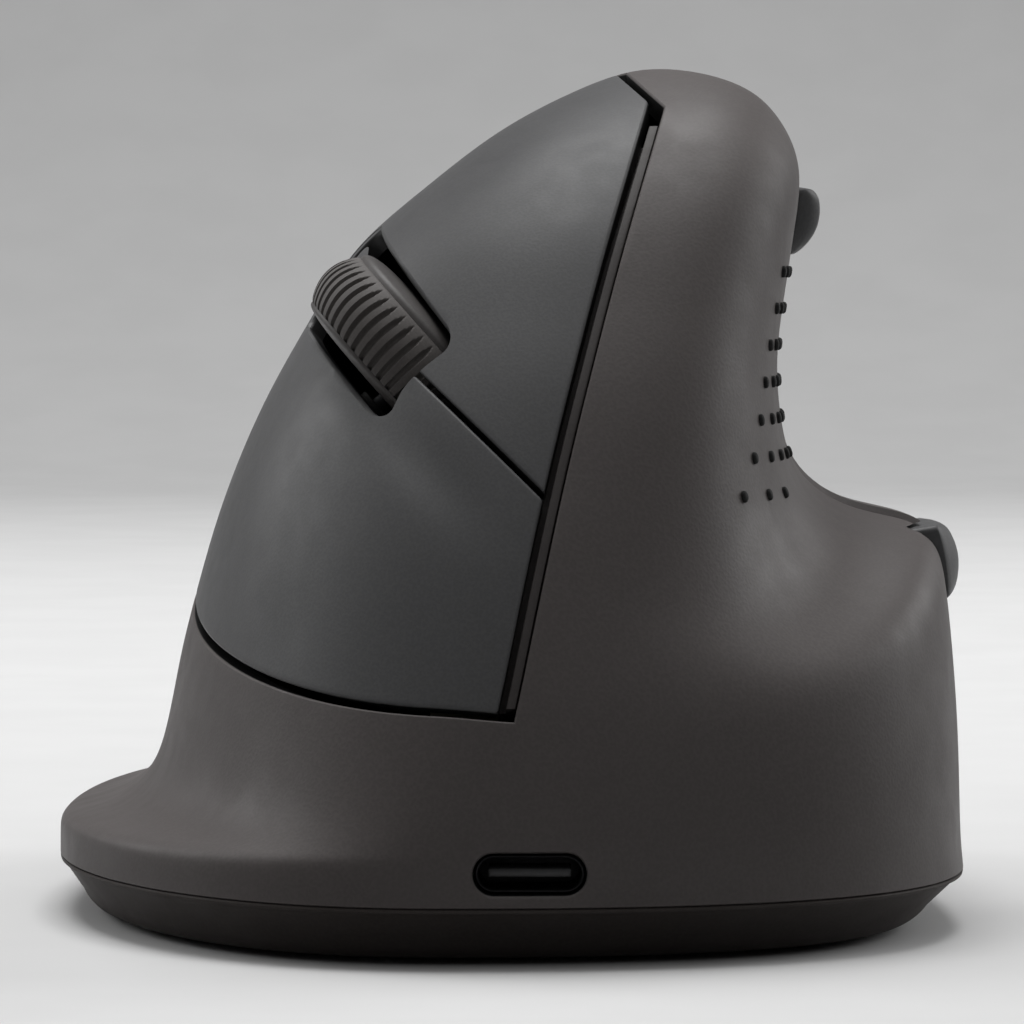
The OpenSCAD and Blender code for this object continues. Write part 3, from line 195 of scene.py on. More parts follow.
def pill_outline(width: float, height: float, steps: int = 16) -> Array:
    """A counter-clockwise slot outline with round ends."""
    r = height / 2
    right = np.linspace(-math.pi / 2, math.pi / 2, steps)
    arcs = [np.column_stack([s * (width / 2 - r) + r * np.cos(a), r * np.sin(a)])
            for s, a in ((1, right), (-1, right + math.pi))]
    straight = np.linspace(0, 1, 12)[1:-1, None]
    top = mix(arcs[0][-1], arcs[1][0], straight)
    low = mix(arcs[1][-1], arcs[0][0], straight)
    return np.concatenate([arcs[0], top, arcs[1], low])


# ---------------------------------------------------------------- mesh making


@dataclass
class MeshPlan:
    """Points and faces of one piece, collected in millimetres."""

    points: list[Array] = field(default_factory=list)
    faces: list[tuple[int, ...]] = field(default_factory=list)
    count: int = 0

    def add(self, pts: Array) -> Array:
        """Add points.

        Args:
            pts: Points in any array shape, with x, y, z last.

        Returns:
            Their indices, in the same array shape.
        """
        pts = np.asarray(pts, float)
        flat = pts.reshape(-1, 3)
        index = self.count + np.arange(len(flat))
        self.points.append(flat)
        self.count += len(flat)
        return index.reshape(pts.shape[:-1])

    def sheet(self, index: Array, around: bool = False, flip: bool = False) -> None:
        """Quads over a grid of indices.

        Args:
            index: Rows and columns of point indices.
            around: Whether the columns close on themselves.
            flip: Whether to turn the faces over.
        """
        ahead = np.roll(index, -1, 1)
        a, b, c, d = index[:-1], ahead[:-1], ahead[1:], index[1:]
        if not around:
            a, b, c, d = (x[:, :-1] for x in (a, b, c, d))
        quads = np.stack([a, b, c, d] if not flip else [a, d, c, b], -1).reshape(-1, 4)
        self.faces.extend(map(tuple, quads.tolist()))

    def band(self, lower: Array, upper: Array, around: bool = True, flip: bool = False) -> None:
        """Quads between two rows of indices."""
        self.sheet(np.stack([lower, upper]), around, flip)

    def cap(self, ring: Array, flip: bool = False) -> None:
        """One flat face over a ring of indices."""
        order = ring.tolist()
        self.faces.append(tuple(order[::-1] if flip else order))

    def fan(self, ring: Array, centre: Array, flip: bool = False) -> None:
        """Triangles from a ring of indices to a centre point."""
        middle = int(self.add(np.asarray(centre, float)[None])[0])
        for a, b in zip(ring.tolist(), np.roll(ring, -1).tolist()):
            self.faces.append((b, a, middle) if flip else (a, b, middle))

    def build(self, name: str, sharp: float = 38.0) -> bpy.types.Object:
        """Make the mesh object.

        Args:
            name: Name of the piece.
            sharp: Angle in degrees from which an edge shades sharp.

        Returns:
            The new object, linked to the scene.
        """
        mesh = bpy.data.meshes.new(name)
        mesh.from_pydata((np.concatenate(self.points) * MM).tolist(), [], self.faces)
        mesh.validate()
        obj = bpy.data.objects.new(name, mesh)
        bpy.context.scene.collection.objects.link(obj)
        shade(obj, sharp)
        return obj


def shade(obj: bpy.types.Object, sharp: float) -> None:
    """Shade a mesh smooth, with edges sharp from this angle in degrees."""
    obj.data.shade_smooth()
    obj.data.set_sharp_from_angle(angle=math.radians(sharp))


def carve(obj: bpy.types.Object, cutters: Iterable[bpy.types.Object], sharp: float = 38.0) -> None:
    """Cut solids out of a piece and delete them.

    Args:
        obj: The piece, a closed mesh.
        cutters: Closed meshes to take away.
        sharp: Angle in degrees from which an edge shades sharp.
    """
    for cutter in cutters:
        tool = obj.modifiers.new("cut", "BOOLEAN")
        tool.operation = "DIFFERENCE"
        tool.solver = "MANIFOLD"
        tool.object = cutter
        graph = bpy.context.evaluated_depsgraph_get()
        mesh = bpy.data.meshes.new_from_object(obj.evaluated_get(graph))
        obj.modifiers.clear()
        old = obj.data
        obj.data = mesh
        mesh.name = obj.name
        bpy.data.meshes.remove(old)
        bpy.data.objects.remove(cutter)
    shade(obj, sharp)


def mark_painted_shade(obj: bpy.types.Object, skin: BVHTree, depth: float) -> None:
    """Mark the faces of a piece that lie deeper under its outer surface than a depth, for black painted
    shade.

    Args:
        obj: The piece.
        skin: Search tree of its outer surface, in metres.
        depth: Depth in millimetres under the outer surface from which faces get the black painted shade.
    """
    # Faces deeper than this get a flat black in the finish: painted shade.
    mark = obj.data.attributes.new("inner", "FLOAT", "FACE")
    far = [float(skin.find_nearest(face.center)[3] > depth * MM) for face in obj.data.polygons]
    mark.data.foreach_set("value", far)


def plate_cutter(name: str, loop: Array, normals: Array, radius: float, deep: float,
                 above: float = 0.5) -> bpy.types.Object:
    """A cutter that goes straight in from a loop on a surface and rounds the edge over.

    Args:
        name: Name of the cutter.
        loop: Points of the loop on the surface, counter-clockwise seen from outside.
        normals: Outward directions at the points.
        radius: Radius of the rounded edge.
        deep: Depth of the cut.
        above: Height of the cutter over the surface.

    Returns:
        The cutter object.
    """
    side = outward(loop, normals)
    plan = MeshPlan()
    rows = [plan.add(row) for row in edge_rows(loop, normals, side, radius, deep, above)]
    for upper, lower in zip(rows, rows[1:]):
        plan.band(lower, upper)
    top, low = rows[0], rows[-1]
    plan.fan(top, plan_points(plan, top).mean(0))
    plan.fan(low, plan_points(plan, low).mean(0), flip=True)
    return plan.build(name)


def plan_points(plan: MeshPlan, index: Array) -> Array:
    """Points of a plan at these indices."""
    return np.concatenate(plan.points)[index]


def edge_rows(loop: Array, normals: Array, side: Array, radius: float, deep: float,
              above: float) -> list[Array]:
    """Rows of a cutter from above a surface, over a rounded edge and down.

    Args:
        loop: Points on the surface.
        normals: Outward directions at the points.
        side: Directions away from the cut at the points.
        radius: Radius of the rounded edge.
        deep: Depth of the last row.
        above: Height of the first row.

    Returns:
        Rows of points.
    """
    rows = [loop + side * (0.9 * radius + 0.15) + normals * above]
    for a in np.radians([14, 30, 46, 62, 78, 90]):
        rows.append(loop + side * radius * (1 - math.sin(a)) - normals * radius * (1 - math.cos(a)))
    rows.append(loop - normals * deep)
    return rows


# ---------------------------------------------------------------- the body's form


@dataclass
class BodyLoft:
    """Closed level curves that climb from the seam to the crown.

    Directions round a curve are degrees: 0 thumb, 90 heel, 180 finger, 270 nose.
    """

    width: float = 79.0
    length: float = 112.0
    height: float = 74.0
    seam: float = 5.0
    chute_drop: float = 7.0
    waist_y: float = -11.0
    flank_shift: float = 7.5
    chute_dir: float = 315.0
    chute_half: float = 55.0
    round_n: float = 2.2
    finger_x: tuple[float, ...] = (-1, -1, -0.999, -0.975, -0.889, -0.79, -0.753, -0.727, -0.689,
                                   -0.646, -0.589, -0.52, -0.434, -0.339, -0.191, -0.028, 0.144, 0.34)
    finger_z: tuple[float, ...] = (0, 0.03, 0.046, 0.056, 0.0645, 0.096, 0.172, 0.256, 0.335,
                                   0.422, 0.509, 0.595, 0.679, 0.773, 0.841, 0.918, 0.97)
    thumb_x: tuple[float, ...] = (1, 0.995, 0.993, 0.992, 0.991, 0.987, 0.965, 0.942, 0.757,
                                  0.634, 0.602, 0.592, 0.613, 0.637, 0.661, 0.607, 0.528, 0.34)
    thumb_z: tuple[float, ...] = (0, 0.03, 0.05, 0.07, 0.1, 0.2, 0.362, 0.438, 0.444,
                                  0.492, 0.559, 0.638, 0.709, 0.796, 0.875, 0.942, 0.984)
    nose_y: tuple[float, ...] = (-1, -0.999, -0.998, -0.997, -0.995, -0.987, -0.964, -0.934, -0.905,
                                 -0.871, -0.821, -0.771, -0.705, -0.634, -0.554, -0.438, -0.286, -0.089)
    heel_y: tuple[float, ...] = (1, 1, 1, 0.998, 0.993, 0.975, 0.938, 0.904, 0.87,
                                 0.83, 0.768, 0.696, 0.607, 0.491, 0.375, 0.214, 0.071, -0.089)
    nose_x: tuple[float, ...] = (-0.104, -0.091, -0.081, -0.075, -0.067, -0.044, -0.001, 0.03, 0.057,
                                 0.085, 0.121, 0.158, 0.195, 0.238, 0.276, 0.316, 0.343, 0.349)
    middle_z: tuple[float, ...] = (0, 0.028, 0.046, 0.058, 0.074, 0.12, 0.217, 0.304, 0.377,
                                   0.449, 0.536, 0.616, 0.696, 0.783, 0.855, 0.928, 0.977)
    chute: tuple[float, ...] = (0, 0, 0, 0, 0.05, 0.15, 0.6, 1, 0.95,
                                0.65, 0.3, 0.1, 0, 0, 0, 0, 0, 0)
    corner: tuple[float, ...] = (2.2, 2.2, 2.2, 2.2, 2.2, 2.2, 2.2, 2.2, 2.3,
                                 2.6, 2.9, 3, 3, 3, 2.9, 2.6, 2.3, 2)
    flank: tuple[float, ...] = (1, 1, 1, 1, 0.98, 0.95, 0.85, 0.7, 0.5,
                                0.3, 0.1, 0, 0, 0, 0, 0, 0, 0)

    def __post_init__(self) -> None:
        """Work out the rows that the spline runs through."""
        self.top = len(self.finger_x) - 1
        half_w, half_l, rise = self.width / 2, self.length / 2, self.height - self.seam
        self.level_step = rise / 12

        def high(shares: tuple[float, ...]) -> Array:
            """Heights of a list of shares, with the last one closing the crown level."""
            return self.seam + rise * np.append(shares, (3 - shares[-1]) / 2)

        steps = np.arange(self.top + 1) / self.top
        nose = np.array(self.nose_y) * half_l
        waist = mix(self.waist_y, nose[-1], steps**6)
        rows = np.stack([
            np.array(self.finger_x) * half_w, high(self.finger_z),
            np.array(self.thumb_x) * half_w, high(self.thumb_z),
            nose, high(self.middle_z), np.array(self.heel_y) * half_l,
            np.array(self.nose_x) * half_w, waist, np.array(self.chute) * self.chute_drop,
            np.array(self.corner), np.array(self.flank) * self.flank_shift], 1)
        past = 2 * rows[-1] - rows[-2]
        past[[1, 3, 5]] = rows[-2][[1, 3, 5]]
        self.knots = np.concatenate([[2 * rows[0] - rows[1]], rows, [past]])

    def level(self, u: Array) -> Array:
        """Row of values at level u, from a uniform cubic B-spline."""
        u = np.asarray(u, float)
        k = np.clip(np.floor(u), 0, self.top - 1).astype(int)
        f = (u - k)[..., None]
        g = 1 - f
        q = self.knots
        return (q[k] * g**3 + q[k + 1] * (3 * f**3 - 6 * f**2 + 4)
                + q[k + 2] * (3 * g**3 - 6 * g**2 + 4) + q[k + 3] * f**3) / 6

    def point(self, u: Array, t: Array) -> Array:
        """Points of the body at level u and direction t."""
        u, t = np.broadcast_arrays(np.asarray(u, float), np.asarray(t, float))
        r = np.moveaxis(self.level(u), -1, 0)
        a = np.mod(t, 360)
        c, s = np.cos(np.radians(a)), np.sin(np.radians(a))
        n = np.where((c > 0) & (s < 0), r[10], self.round_n)
        ax = np.where(c > 0, r[2] - r[7], r[7] - r[0])
        by = np.where(s > 0, r[6] - r[8], r[8] - r[4])
        mean = (r[1] + r[3] + 2 * r[5]) / 4
        lean = (r[3] - r[1]) / 2
        saddle = (r[1] + r[3] - 2 * r[5]) / 4
        d = np.abs(a - self.chute_dir)
        dip = np.where(d < self.chute_half, np.cos(np.radians(d * 90 / self.chute_half)) ** 2, 0)
        return np.stack([
            r[7] + np.sign(c) * ax * np.abs(c) ** (2 / n),
            r[8] + np.sign(s) * by * np.abs(s) ** (2 / n) - r[11] * c * np.abs(c),
            mean + lean * c + saddle * np.cos(np.radians(2 * a)) - r[9] * dip], -1)

    def normal(self, u: Array, t: Array) -> Array:
        """Outward normals at level u and direction t."""
        v, du, dt = np.minimum(u, self.top - 0.04), 0.03, 1.2
        along = self.point(v, np.add(t, dt)) - self.point(v, np.subtract(t, dt))
        return unit(np.cross(along, self.point(v + du, t) - self.point(v - du, t)))

    def inside(self, u: Array, t: Array, d: float | Array) -> Array:
        """Points at a depth d under the surface."""
        return self.point(u, t) - np.asarray(d)[..., None] * self.normal(u, t)

    def climb(self, u: Array, t: Array, d: float) -> Array:
        """Level reached by moving d up along the surface."""
        reach = np.linalg.norm(self.point(np.add(u, 0.05), t) - self.point(np.subtract(u, 0.05), t), axis=-1)
        return u + d * 0.1 / reach

    def turn(self, u: Array, t: Array, d: float) -> Array:
        """Direction reached by moving d round the surface."""
        reach = np.linalg.norm(self.point(u, np.add(t, 1)) - self.point(u, np.subtract(t, 1)), axis=-1)
        return t + d * 2 / reach

    def nose_turn(self, u: Array, d: float) -> Array:
        """Direction at a sideways distance d from the nose line."""
        r = self.level(u)
        a = r[..., 2] - r[..., 7] if d > 0 else r[..., 7] - r[..., 0]
        n = r[..., 10] if d > 0 else self.round_n
        share = np.minimum(1, abs(d) / a) ** (np.asarray(n) / 2)
        return 270 + np.sign(d) * np.degrees(np.arcsin(share))

    def beside(self, side: int, y: Array, z: Array) -> tuple[Array, Array]:
        """Level and direction of points at y and z on one side.

        Args:
            side: 1 for the thumb side, -1 for the finger side.
            y: Places along the body.
            z: Heights.

        Returns:
            Levels and directions.
        """
        y, z = np.broadcast_arrays(np.asarray(y, float), np.asarray(z, float))
        u, c = np.full(y.shape, 10.0), np.ones(y.shape)
        for step in range(15):
            r = self.level(u)
            v = y + side * r[..., 11] * c * c
            ahead = v < r[..., 8]
            b = np.where(ahead, r[..., 8] - r[..., 4], r[..., 6] - r[..., 8])
            n = np.where(ahead & (side > 0), r[..., 10], self.round_n)
            a = np.degrees(np.arcsin(np.minimum(1, np.abs(v - r[..., 8]) / b) ** (n / 2)))
            a = np.where(ahead, -a, a)
            t = a if side > 0 else 180 - a
            if step == 14:
                break
            u = np.clip(u + (z - self.point(u, t)[..., 2]) / self.level_step, 0, self.top - 0.2)
            c = np.cos(np.radians(a))
        return u, t


@dataclass
class FingerFrame:
    """Frame of the finger side: x along the wheel axle, y to the rear, z out of the keys."""

    loft: BodyLoft
    tilt: float = 42.0
    wheel_r: float = 11.95
    wheel_proud: float = 3.5
    wheel_y: float = -26.1968
    wheel_z: float = 53.65

    def __post_init__(self) -> None:
        """Work out the axes and the wheel's centre."""
        c, s = math.cos(math.radians(self.tilt)), math.sin(math.radians(self.tilt))
        self.axle = np.array([c, 0, s])
        self.out = np.array([-s, 0, c])
        u, t = self.loft.beside(-1, self.wheel_y, self.wheel_z)
        self.centre = self.loft.point(u, t) + (self.wheel_proud - self.wheel_r) * self.out

    def local(self, p: Array) -> Array:
        """Points in this frame."""
        d = p - self.centre
        return np.stack([d @ self.axle, d[..., 1], d @ self.out], -1)

    def world(self, p: Array) -> Array:
        """Points of this frame in the part's frame."""
        p = np.asarray(p, float)
        return (self.centre + p[..., :1] * self.axle + p[..., 1:2] * np.array([0, 1.0, 0])
                + p[..., 2:] * self.out)


@dataclass
class KeyOpening:
    """The opening in the housing and the edges of the two keys in it.

    A place along the opening runs from its rear end, 0, to the nose, 1.
    """

    loft: BodyLoft
    fingers: FingerFrame
    strip_w: float = 1.5
    key_gap: float = 0.8
    split_gap: float = 0.6
    low_ends: tuple[float, float] = (9.15, 6.06)
    low_sag: float = 0.3
    top_levels: tuple[float, ...] = (12.4, 14.6, 15.8, 16.45)
    brow_start: float = 0.5
    brow_facing: tuple[float, float, float] = (0.66, -0.037, 0.751)
    brow_point: tuple[float, float, float] = (13.6117, -21.1512, 70.28)
    brow_gap: float = 0.58
    rear_turns: tuple[float, float] = (140.0, 112.0)
    rear_levels: tuple[float, float] = (9.0, 13.5)
    split_tail: float = -5.0
    split_drop: float = -0.45
    split_nose: float = 1.25
    split_marks: tuple[float, float] = (0.45, 0.72)

    def rear(self, u: Array) -> Array:
        """Direction of the rear end at level u."""
        f = np.clip((u - self.rear_levels[0]) / (self.rear_levels[1] - self.rear_levels[0]), 0, 1)
        return mix(self.rear_turns[0], self.rear_turns[1], f)

    def front(self, u: Array) -> Array:
        """Direction of the nose end at level u."""
        return self.loft.nose_turn(u, self.strip_w / 2)

    def turn(self, u: Array, s: Array) -> Array:
        """Direction at level u and place s of the opening."""
        return mix(self.rear(u), self.front(u), s)

    def low(self, s: Array) -> Array:
        """Level of the lower edge."""
        return mix(*self.low_ends, s) - self.low_sag * np.sin(np.pi * np.asarray(s))

    def brow(self, s: Array, turn: Callable[[Array, Array], Array], drop: float = 0.0) -> Array:
        """Level of the front half of an upper edge, which lies in one plane.

        Args:
            s: Places along the edge.
            turn: Direction at a level and place.
            drop: Distance of the edge under the housing's own edge.

        Returns:
            Levels.
        """
        facing, step = unit(self.brow_facing), 0.05
        u = np.full(np.shape(s), 16.0)
        for _ in range(9):
            gap, ahead = ((self.loft.point(v, turn(v, s)) - self.brow_point) @ facing + drop
                          for v in (u, u + step))
            u = np.clip(u - gap / np.maximum(1, (ahead - gap) / step), 14, self.loft.top - 0.1)
        return u

    def high(self, s: Array) -> Array:
        """Level of the upper edge: a Catmull-Rom spline at the rear and a plane at the front."""
        s = np.asarray(s, float)
        q = np.append(self.top_levels, self.brow(np.array(self.brow_start), self.turn))
        m = len(q) - 1
        v = np.minimum(s / self.brow_start, 1) * m
        k = np.clip(np.floor(v), 0, m - 1).astype(int)
        f = v - k
        rear = catmull_rom(q[np.maximum(0, k - 1)], q[k], q[k + 1], q[np.minimum(m, k + 2)], f)
        return np.where(s > self.brow_start, self.brow(s, self.turn), rear)

    def key_turn(self, u: Array, s: Array) -> Array:
        """Direction at level u and place s of the keys."""
        rear = self.loft.turn(u, self.rear(u), self.key_gap)
        return mix(rear, self.loft.nose_turn(u, -self.strip_w / 2), s)

    def key_low(self, s: Array) -> Array:
        """Level of the lower key's lower edge."""
        u = self.low(s)
        return self.loft.climb(u, self.key_turn(u, s), self.key_gap)

    def key_high(self, s: Array) -> Array:
        """Level of the upper key's upper edge."""
        u = self.high(s)
        rear = self.loft.climb(u, self.key_turn(u, s), -self.key_gap)
        front = self.brow(s, self.key_turn, self.brow_gap)
        return mix(rear, front, smooth_step(self.brow_start - 0.1, self.brow_start + 0.1, s))

    def split_x(self, s: Array) -> Array:
        """Place of the split along the wheel axle."""
        m0, m1 = self.split_marks
        nose = mix(self.split_drop, self.split_nose, (s - m1) / (1 - m1))
        tail = mix(self.split_drop, self.split_tail, np.maximum(0, (m0 - s) / m0) ** 1.5)
        return np.where(s > m1, nose, np.where(s > m0, self.split_drop, tail))

    def split(self, s: Array, d: float) -> Array:
        """Level of the split, moved up along the surface by d."""
        u = np.full(np.shape(s), 11.0)
        for _ in range(12):
            x = self.fingers.local(self.loft.point(u, self.key_turn(u, s)))[..., 0]
            u = u + (self.split_x(s) - x) / self.loft.level_step
        return self.loft.climb(u, self.key_turn(u, s), d)


# ---------------------------------------------------------------- finishes


def srgb(r: float, g: float, b: float) -> tuple[float, float, float, float]:
    """A colour written as 0 to 255 display values, as linear values."""
    def lin(v: float) -> float:
        """One channel."""
        v /= 255
        return v / 12.92 if v <= 0.04045 else ((v + 0.055) / 1.055) ** 2.4
    return lin(r), lin(g), lin(b), 1.0


class NodeSheet:
    """A node tree that is written by short calls."""

    def __init__(self, tree: bpy.types.NodeTree) -> None:
        """Start on an empty tree."""
        self.tree = tree
        self.x = 0

    def node(self, kind: str, inputs: dict | None = None, **settings: object) -> bpy.types.Node:
        """Add a node.

        Args:
            kind: Node type.
            inputs: Values, or sockets to link, by input name or number.
            **settings: Attributes of the node.

        Returns:
            The node.
        """
        made = self.tree.nodes.new(kind)
        made.location = (self.x, 0)
        self.x += 180
        for key, value in settings.items():
            setattr(made, key, value)
        for key, value in (inputs or {}).items():
            if isinstance(value, bpy.types.NodeSocket):
                self.tree.links.new(value, made.inputs[key])
            else:
                made.inputs[key].default_value = value
        return made

    def math(self, how: str, a: object, b: object = 0.0) -> bpy.types.NodeSocket:
        """A maths node's result."""
        return self.node("ShaderNodeMath", {0: a, 1: b}, operation=how).outputs[0]

    def ramp(self, value: bpy.types.NodeSocket, lo: float, hi: float, out_lo: float = 0.0,
             out_hi: float = 1.0) -> bpy.types.NodeSocket:
        """A smooth change of range from lo and hi to out_lo and out_hi."""
        made = self.node("ShaderNodeMapRange", {0: value, 1: lo, 2: hi, 3: out_lo, 4: out_hi},
                         interpolation_type="SMOOTHSTEP")
        return made.outputs[0]

    def noise(self, where: bpy.types.NodeSocket, scale: object, detail: float = 2.0,
              rough: float = 0.5) -> bpy.types.NodeSocket:
        """A noise value."""
        made = self.node("ShaderNodeTexNoise", {"Vector": where, "Scale": scale, "Detail": detail,
                                                "Roughness": rough})
        return made.outputs["Fac"]

    def blend(self, f: object, a: object, b: object, how: str = "MIX") -> bpy.types.NodeSocket:
        """A mix of two colours."""
        made = self.node("ShaderNodeMix", data_type="RGBA", blend_type=how)
        for socket, value in ((made.inputs[0], f), (made.inputs[6], a), (made.inputs[7], b)):
            if isinstance(value, bpy.types.NodeSocket):
                self.tree.links.new(value, socket)
            else:
                socket.default_value = value
        return made.outputs[2]


def new_group(name: str, ins: dict[str, float], outs: Sequence[str]) -> tuple[NodeSheet, bpy.types.Node,
                                                                             bpy.types.Node]:
    """An empty shader group with number sockets.

    Args:
        name: Name of the group.
        ins: Inputs and their usual values.
        outs: Outputs.

    Returns:
        The sheet to write on, the group's input node and its output node.
    """
    tree = bpy.data.node_groups.new(name, "ShaderNodeTree")
    for key, value in ins.items():
        made = tree.interface.new_socket(key, in_out="INPUT", socket_type="NodeSocketFloat")
        made.default_value = value
    for key in outs:
        tree.interface.new_socket(key, in_out="OUTPUT", socket_type="NodeSocketFloat")
    sheet = NodeSheet(tree)
    return sheet, sheet.node("NodeGroupInput"), sheet.node("NodeGroupOutput")


class Effects:
    """Shader groups that several finishes share, each built once."""

    def __init__(self) -> None:
        """Build the groups."""
        self.grain = self._grain()
        self.handling = self._handling()
        self.rubbed = self._rubbed()

    @staticmethod
    def _grain() -> bpy.types.NodeTree:
        """Fine spark-eroded mould grain: a height and a tone that follows it."""
        sheet, take, give = new_group("mould_grain", {"Pitch": 0.25, "Depth": 1.0}, ("Height", "Tone"))
        where = sheet.node("ShaderNodeTexCoord").outputs["Object"]
        scale = sheet.math("DIVIDE", 1000.0, take.outputs["Pitch"])
        fine = sheet.noise(where, scale, 3.0, 0.6)
        cells = sheet.node("ShaderNodeTexVoronoi", {"Vector": where, "Scale": scale, "Randomness": 1.0},
                           feature="SMOOTH_F1")
        pits = sheet.ramp(cells.outputs["Distance"], 0.1, 0.75)
        both = sheet.math("ADD", sheet.math("MULTIPLY", fine, 0.6), sheet.math("MULTIPLY", pits, 0.4))
        height = sheet.math("MULTIPLY", both, take.outputs["Depth"])
        sheet.tree.links.new(height, give.inputs["Height"])
        sheet.tree.links.new(both, give.inputs["Tone"])
        return sheet.tree

    @staticmethod
    def _handling() -> bpy.types.NodeTree:
        """Broad cloudy patches where hands have polished or dulled a surface."""
        sheet, take, give = new_group("handling", {"Patch": 18.0}, ("Mask", "Fine"))
        where = sheet.node("ShaderNodeTexCoord").outputs["Object"]
        scale = sheet.math("DIVIDE", 1000.0, take.outputs["Patch"])
        broad = sheet.noise(where, scale, 3.0, 0.55)
        smears = sheet.noise(where, sheet.math("MULTIPLY", scale, 7.0), 2.0, 0.5)
        sheet.tree.links.new(sheet.ramp(broad, 0.35, 0.7), give.inputs["Mask"])
        sheet.tree.links.new(smears, give.inputs["Fine"])
        return sheet.tree

    @staticmethod
    def _rubbed() -> bpy.types.NodeTree:
        """Mask of convex edges that wear first, broken up by noise."""
        sheet, take, give = new_group("rubbed_edges", {"Reach": 0.06}, ("Mask",))
        bend = sheet.node("ShaderNodeNewGeometry").outputs["Pointiness"]
        lift = sheet.math("SUBTRACT", bend, 0.5)
        edge = sheet.math("DIVIDE", lift, take.outputs["Reach"])
        where = sheet.node("ShaderNodeTexCoord").outputs["Object"]
        patch = sheet.ramp(sheet.noise(where, 300.0, 3.0, 0.6), 0.3, 0.7, 0.4, 1.0)
        mask = sheet.node("ShaderNodeMath", {0: edge, 1: patch}, operation="MULTIPLY", use_clamp=True)
        sheet.tree.links.new(mask.outputs[0], give.inputs["Mask"])
        return sheet.tree


def new_material(name: str) -> tuple[bpy.types.Material, NodeSheet, bpy.types.Node]:
    """A material with a Principled shader.

    Args:
        name: Name of the material.

    Returns:
        The material, its sheet and its shader node.
    """
    material = bpy.data.materials.new(name)
    material.use_nodes = True
    tree = material.node_tree
    tree.nodes.clear()
    sheet = NodeSheet(tree)
    shader = sheet.node("ShaderNodeBsdfPrincipled")
    out = sheet.node("ShaderNodeOutputMaterial")
    tree.links.new(shader.outputs[0], out.inputs[0])
    return material, sheet, shader


def put_group(sheet: NodeSheet, tree: bpy.types.NodeTree, **values: float) -> bpy.types.Node:
    """Place a shared group with its own values.

    Args:
        sheet: Sheet of the material.
        tree: The group.
        **values: Input values by name.

    Returns:
        The group node.
    """
    made = sheet.node("ShaderNodeGroup")
    made.node_tree = tree
    for key, value in values.items():
        made.inputs[key].default_value = value
    return made


@dataclass(frozen=True)
class MouldedFinish:
    """Moulded plastic or rubber: grain, handling patches, rubbed edges and, where given, black painted shade
    on deep faces.

    Attributes:
        name: Name of the material.
        colour: Linear colour.
        rough: Roughness of the clean surface.
        grain_mm: Pitch of the mould grain.
        grain_um: Height of the grain in thousandths of a millimetre.
        polish: Roughness lost where it is handled.
        edge: Strength of the paler rubbed edges.
        patch_mm: Size of the handling patches.
        sheen: Weight of the soft sheen.
        painted_shade_colour: Colour painted as shade on faces deeper than the outer surface, so gaps and
            openings look unlit.
        gloss: Specular level.
    """

    name: str
    colour: tuple[float, float, float, float]
    rough: float = 0.6
    grain_mm: float = 0.3
    grain_um: float = 12.0
    polish: float = 0.08
    edge: float = 0.25
    patch_mm: float = 18.0
    sheen: float = 0.0
    painted_shade_colour: tuple[float, float, float, float] | None = None
    gloss: float = 0.3

    def make(self, effects: Effects) -> bpy.types.Material:
        """Build the material from the shared groups."""
        material, sheet, shader = new_material(self.name)
        grain = put_group(sheet, effects.grain, Pitch=self.grain_mm, Depth=1.0)
        hand = put_group(sheet, effects.handling, Patch=self.patch_mm)
        rub = put_group(sheet, effects.rubbed, Reach=0.08)
        dark = tuple(0.88 * c for c in self.colour[:3]) + (1.0,)
        pale = tuple(min(1, 1.5 * c + 0.01) for c in self.colour[:3]) + (1.0,)
        speck = sheet.ramp(grain.outputs["Tone"], 0.3, 0.75)
        base = sheet.blend(speck, dark, self.colour)
        cloud = sheet.ramp(hand.outputs["Mask"], 0.0, 1.0, 0.0, 0.12)
        base = sheet.blend(cloud, base, pale)
        base = sheet.blend(sheet.math("MULTIPLY", rub.outputs["Mask"], self.edge), base, pale)
        # Faces marked deep get a flat black here: painted shade for gaps, openings and hollows.
        if self.painted_shade_colour is not None:
            inner = sheet.node("ShaderNodeAttribute", attribute_name="inner").outputs["Fac"]
            base = sheet.blend(inner, base, self.painted_shade_colour)
        sheet.tree.links.new(base, shader.inputs["Base Color"])
        dull = sheet.ramp(hand.outputs["Mask"], 0.0, 1.0, self.rough, self.rough - self.polish)
        smear = sheet.ramp(hand.outputs["Fine"], 0.3, 0.7, -0.025, 0.025)
        sheet.tree.links.new(sheet.math("ADD", dull, smear), shader.inputs["Roughness"])
        bump = sheet.node("ShaderNodeBump", {"Strength": 1.0, "Distance": self.grain_um * 1e-6,
                                             "Height": grain.outputs["Height"]})
        sheet.tree.links.new(bump.outputs[0], shader.inputs["Normal"])
        shader.inputs["Specular IOR Level"].default_value = self.gloss
        if self.sheen:
            shader.inputs["Sheen Weight"].default_value = self.sheen
            shader.inputs["Sheen Roughness"].default_value = 0.5
        return material


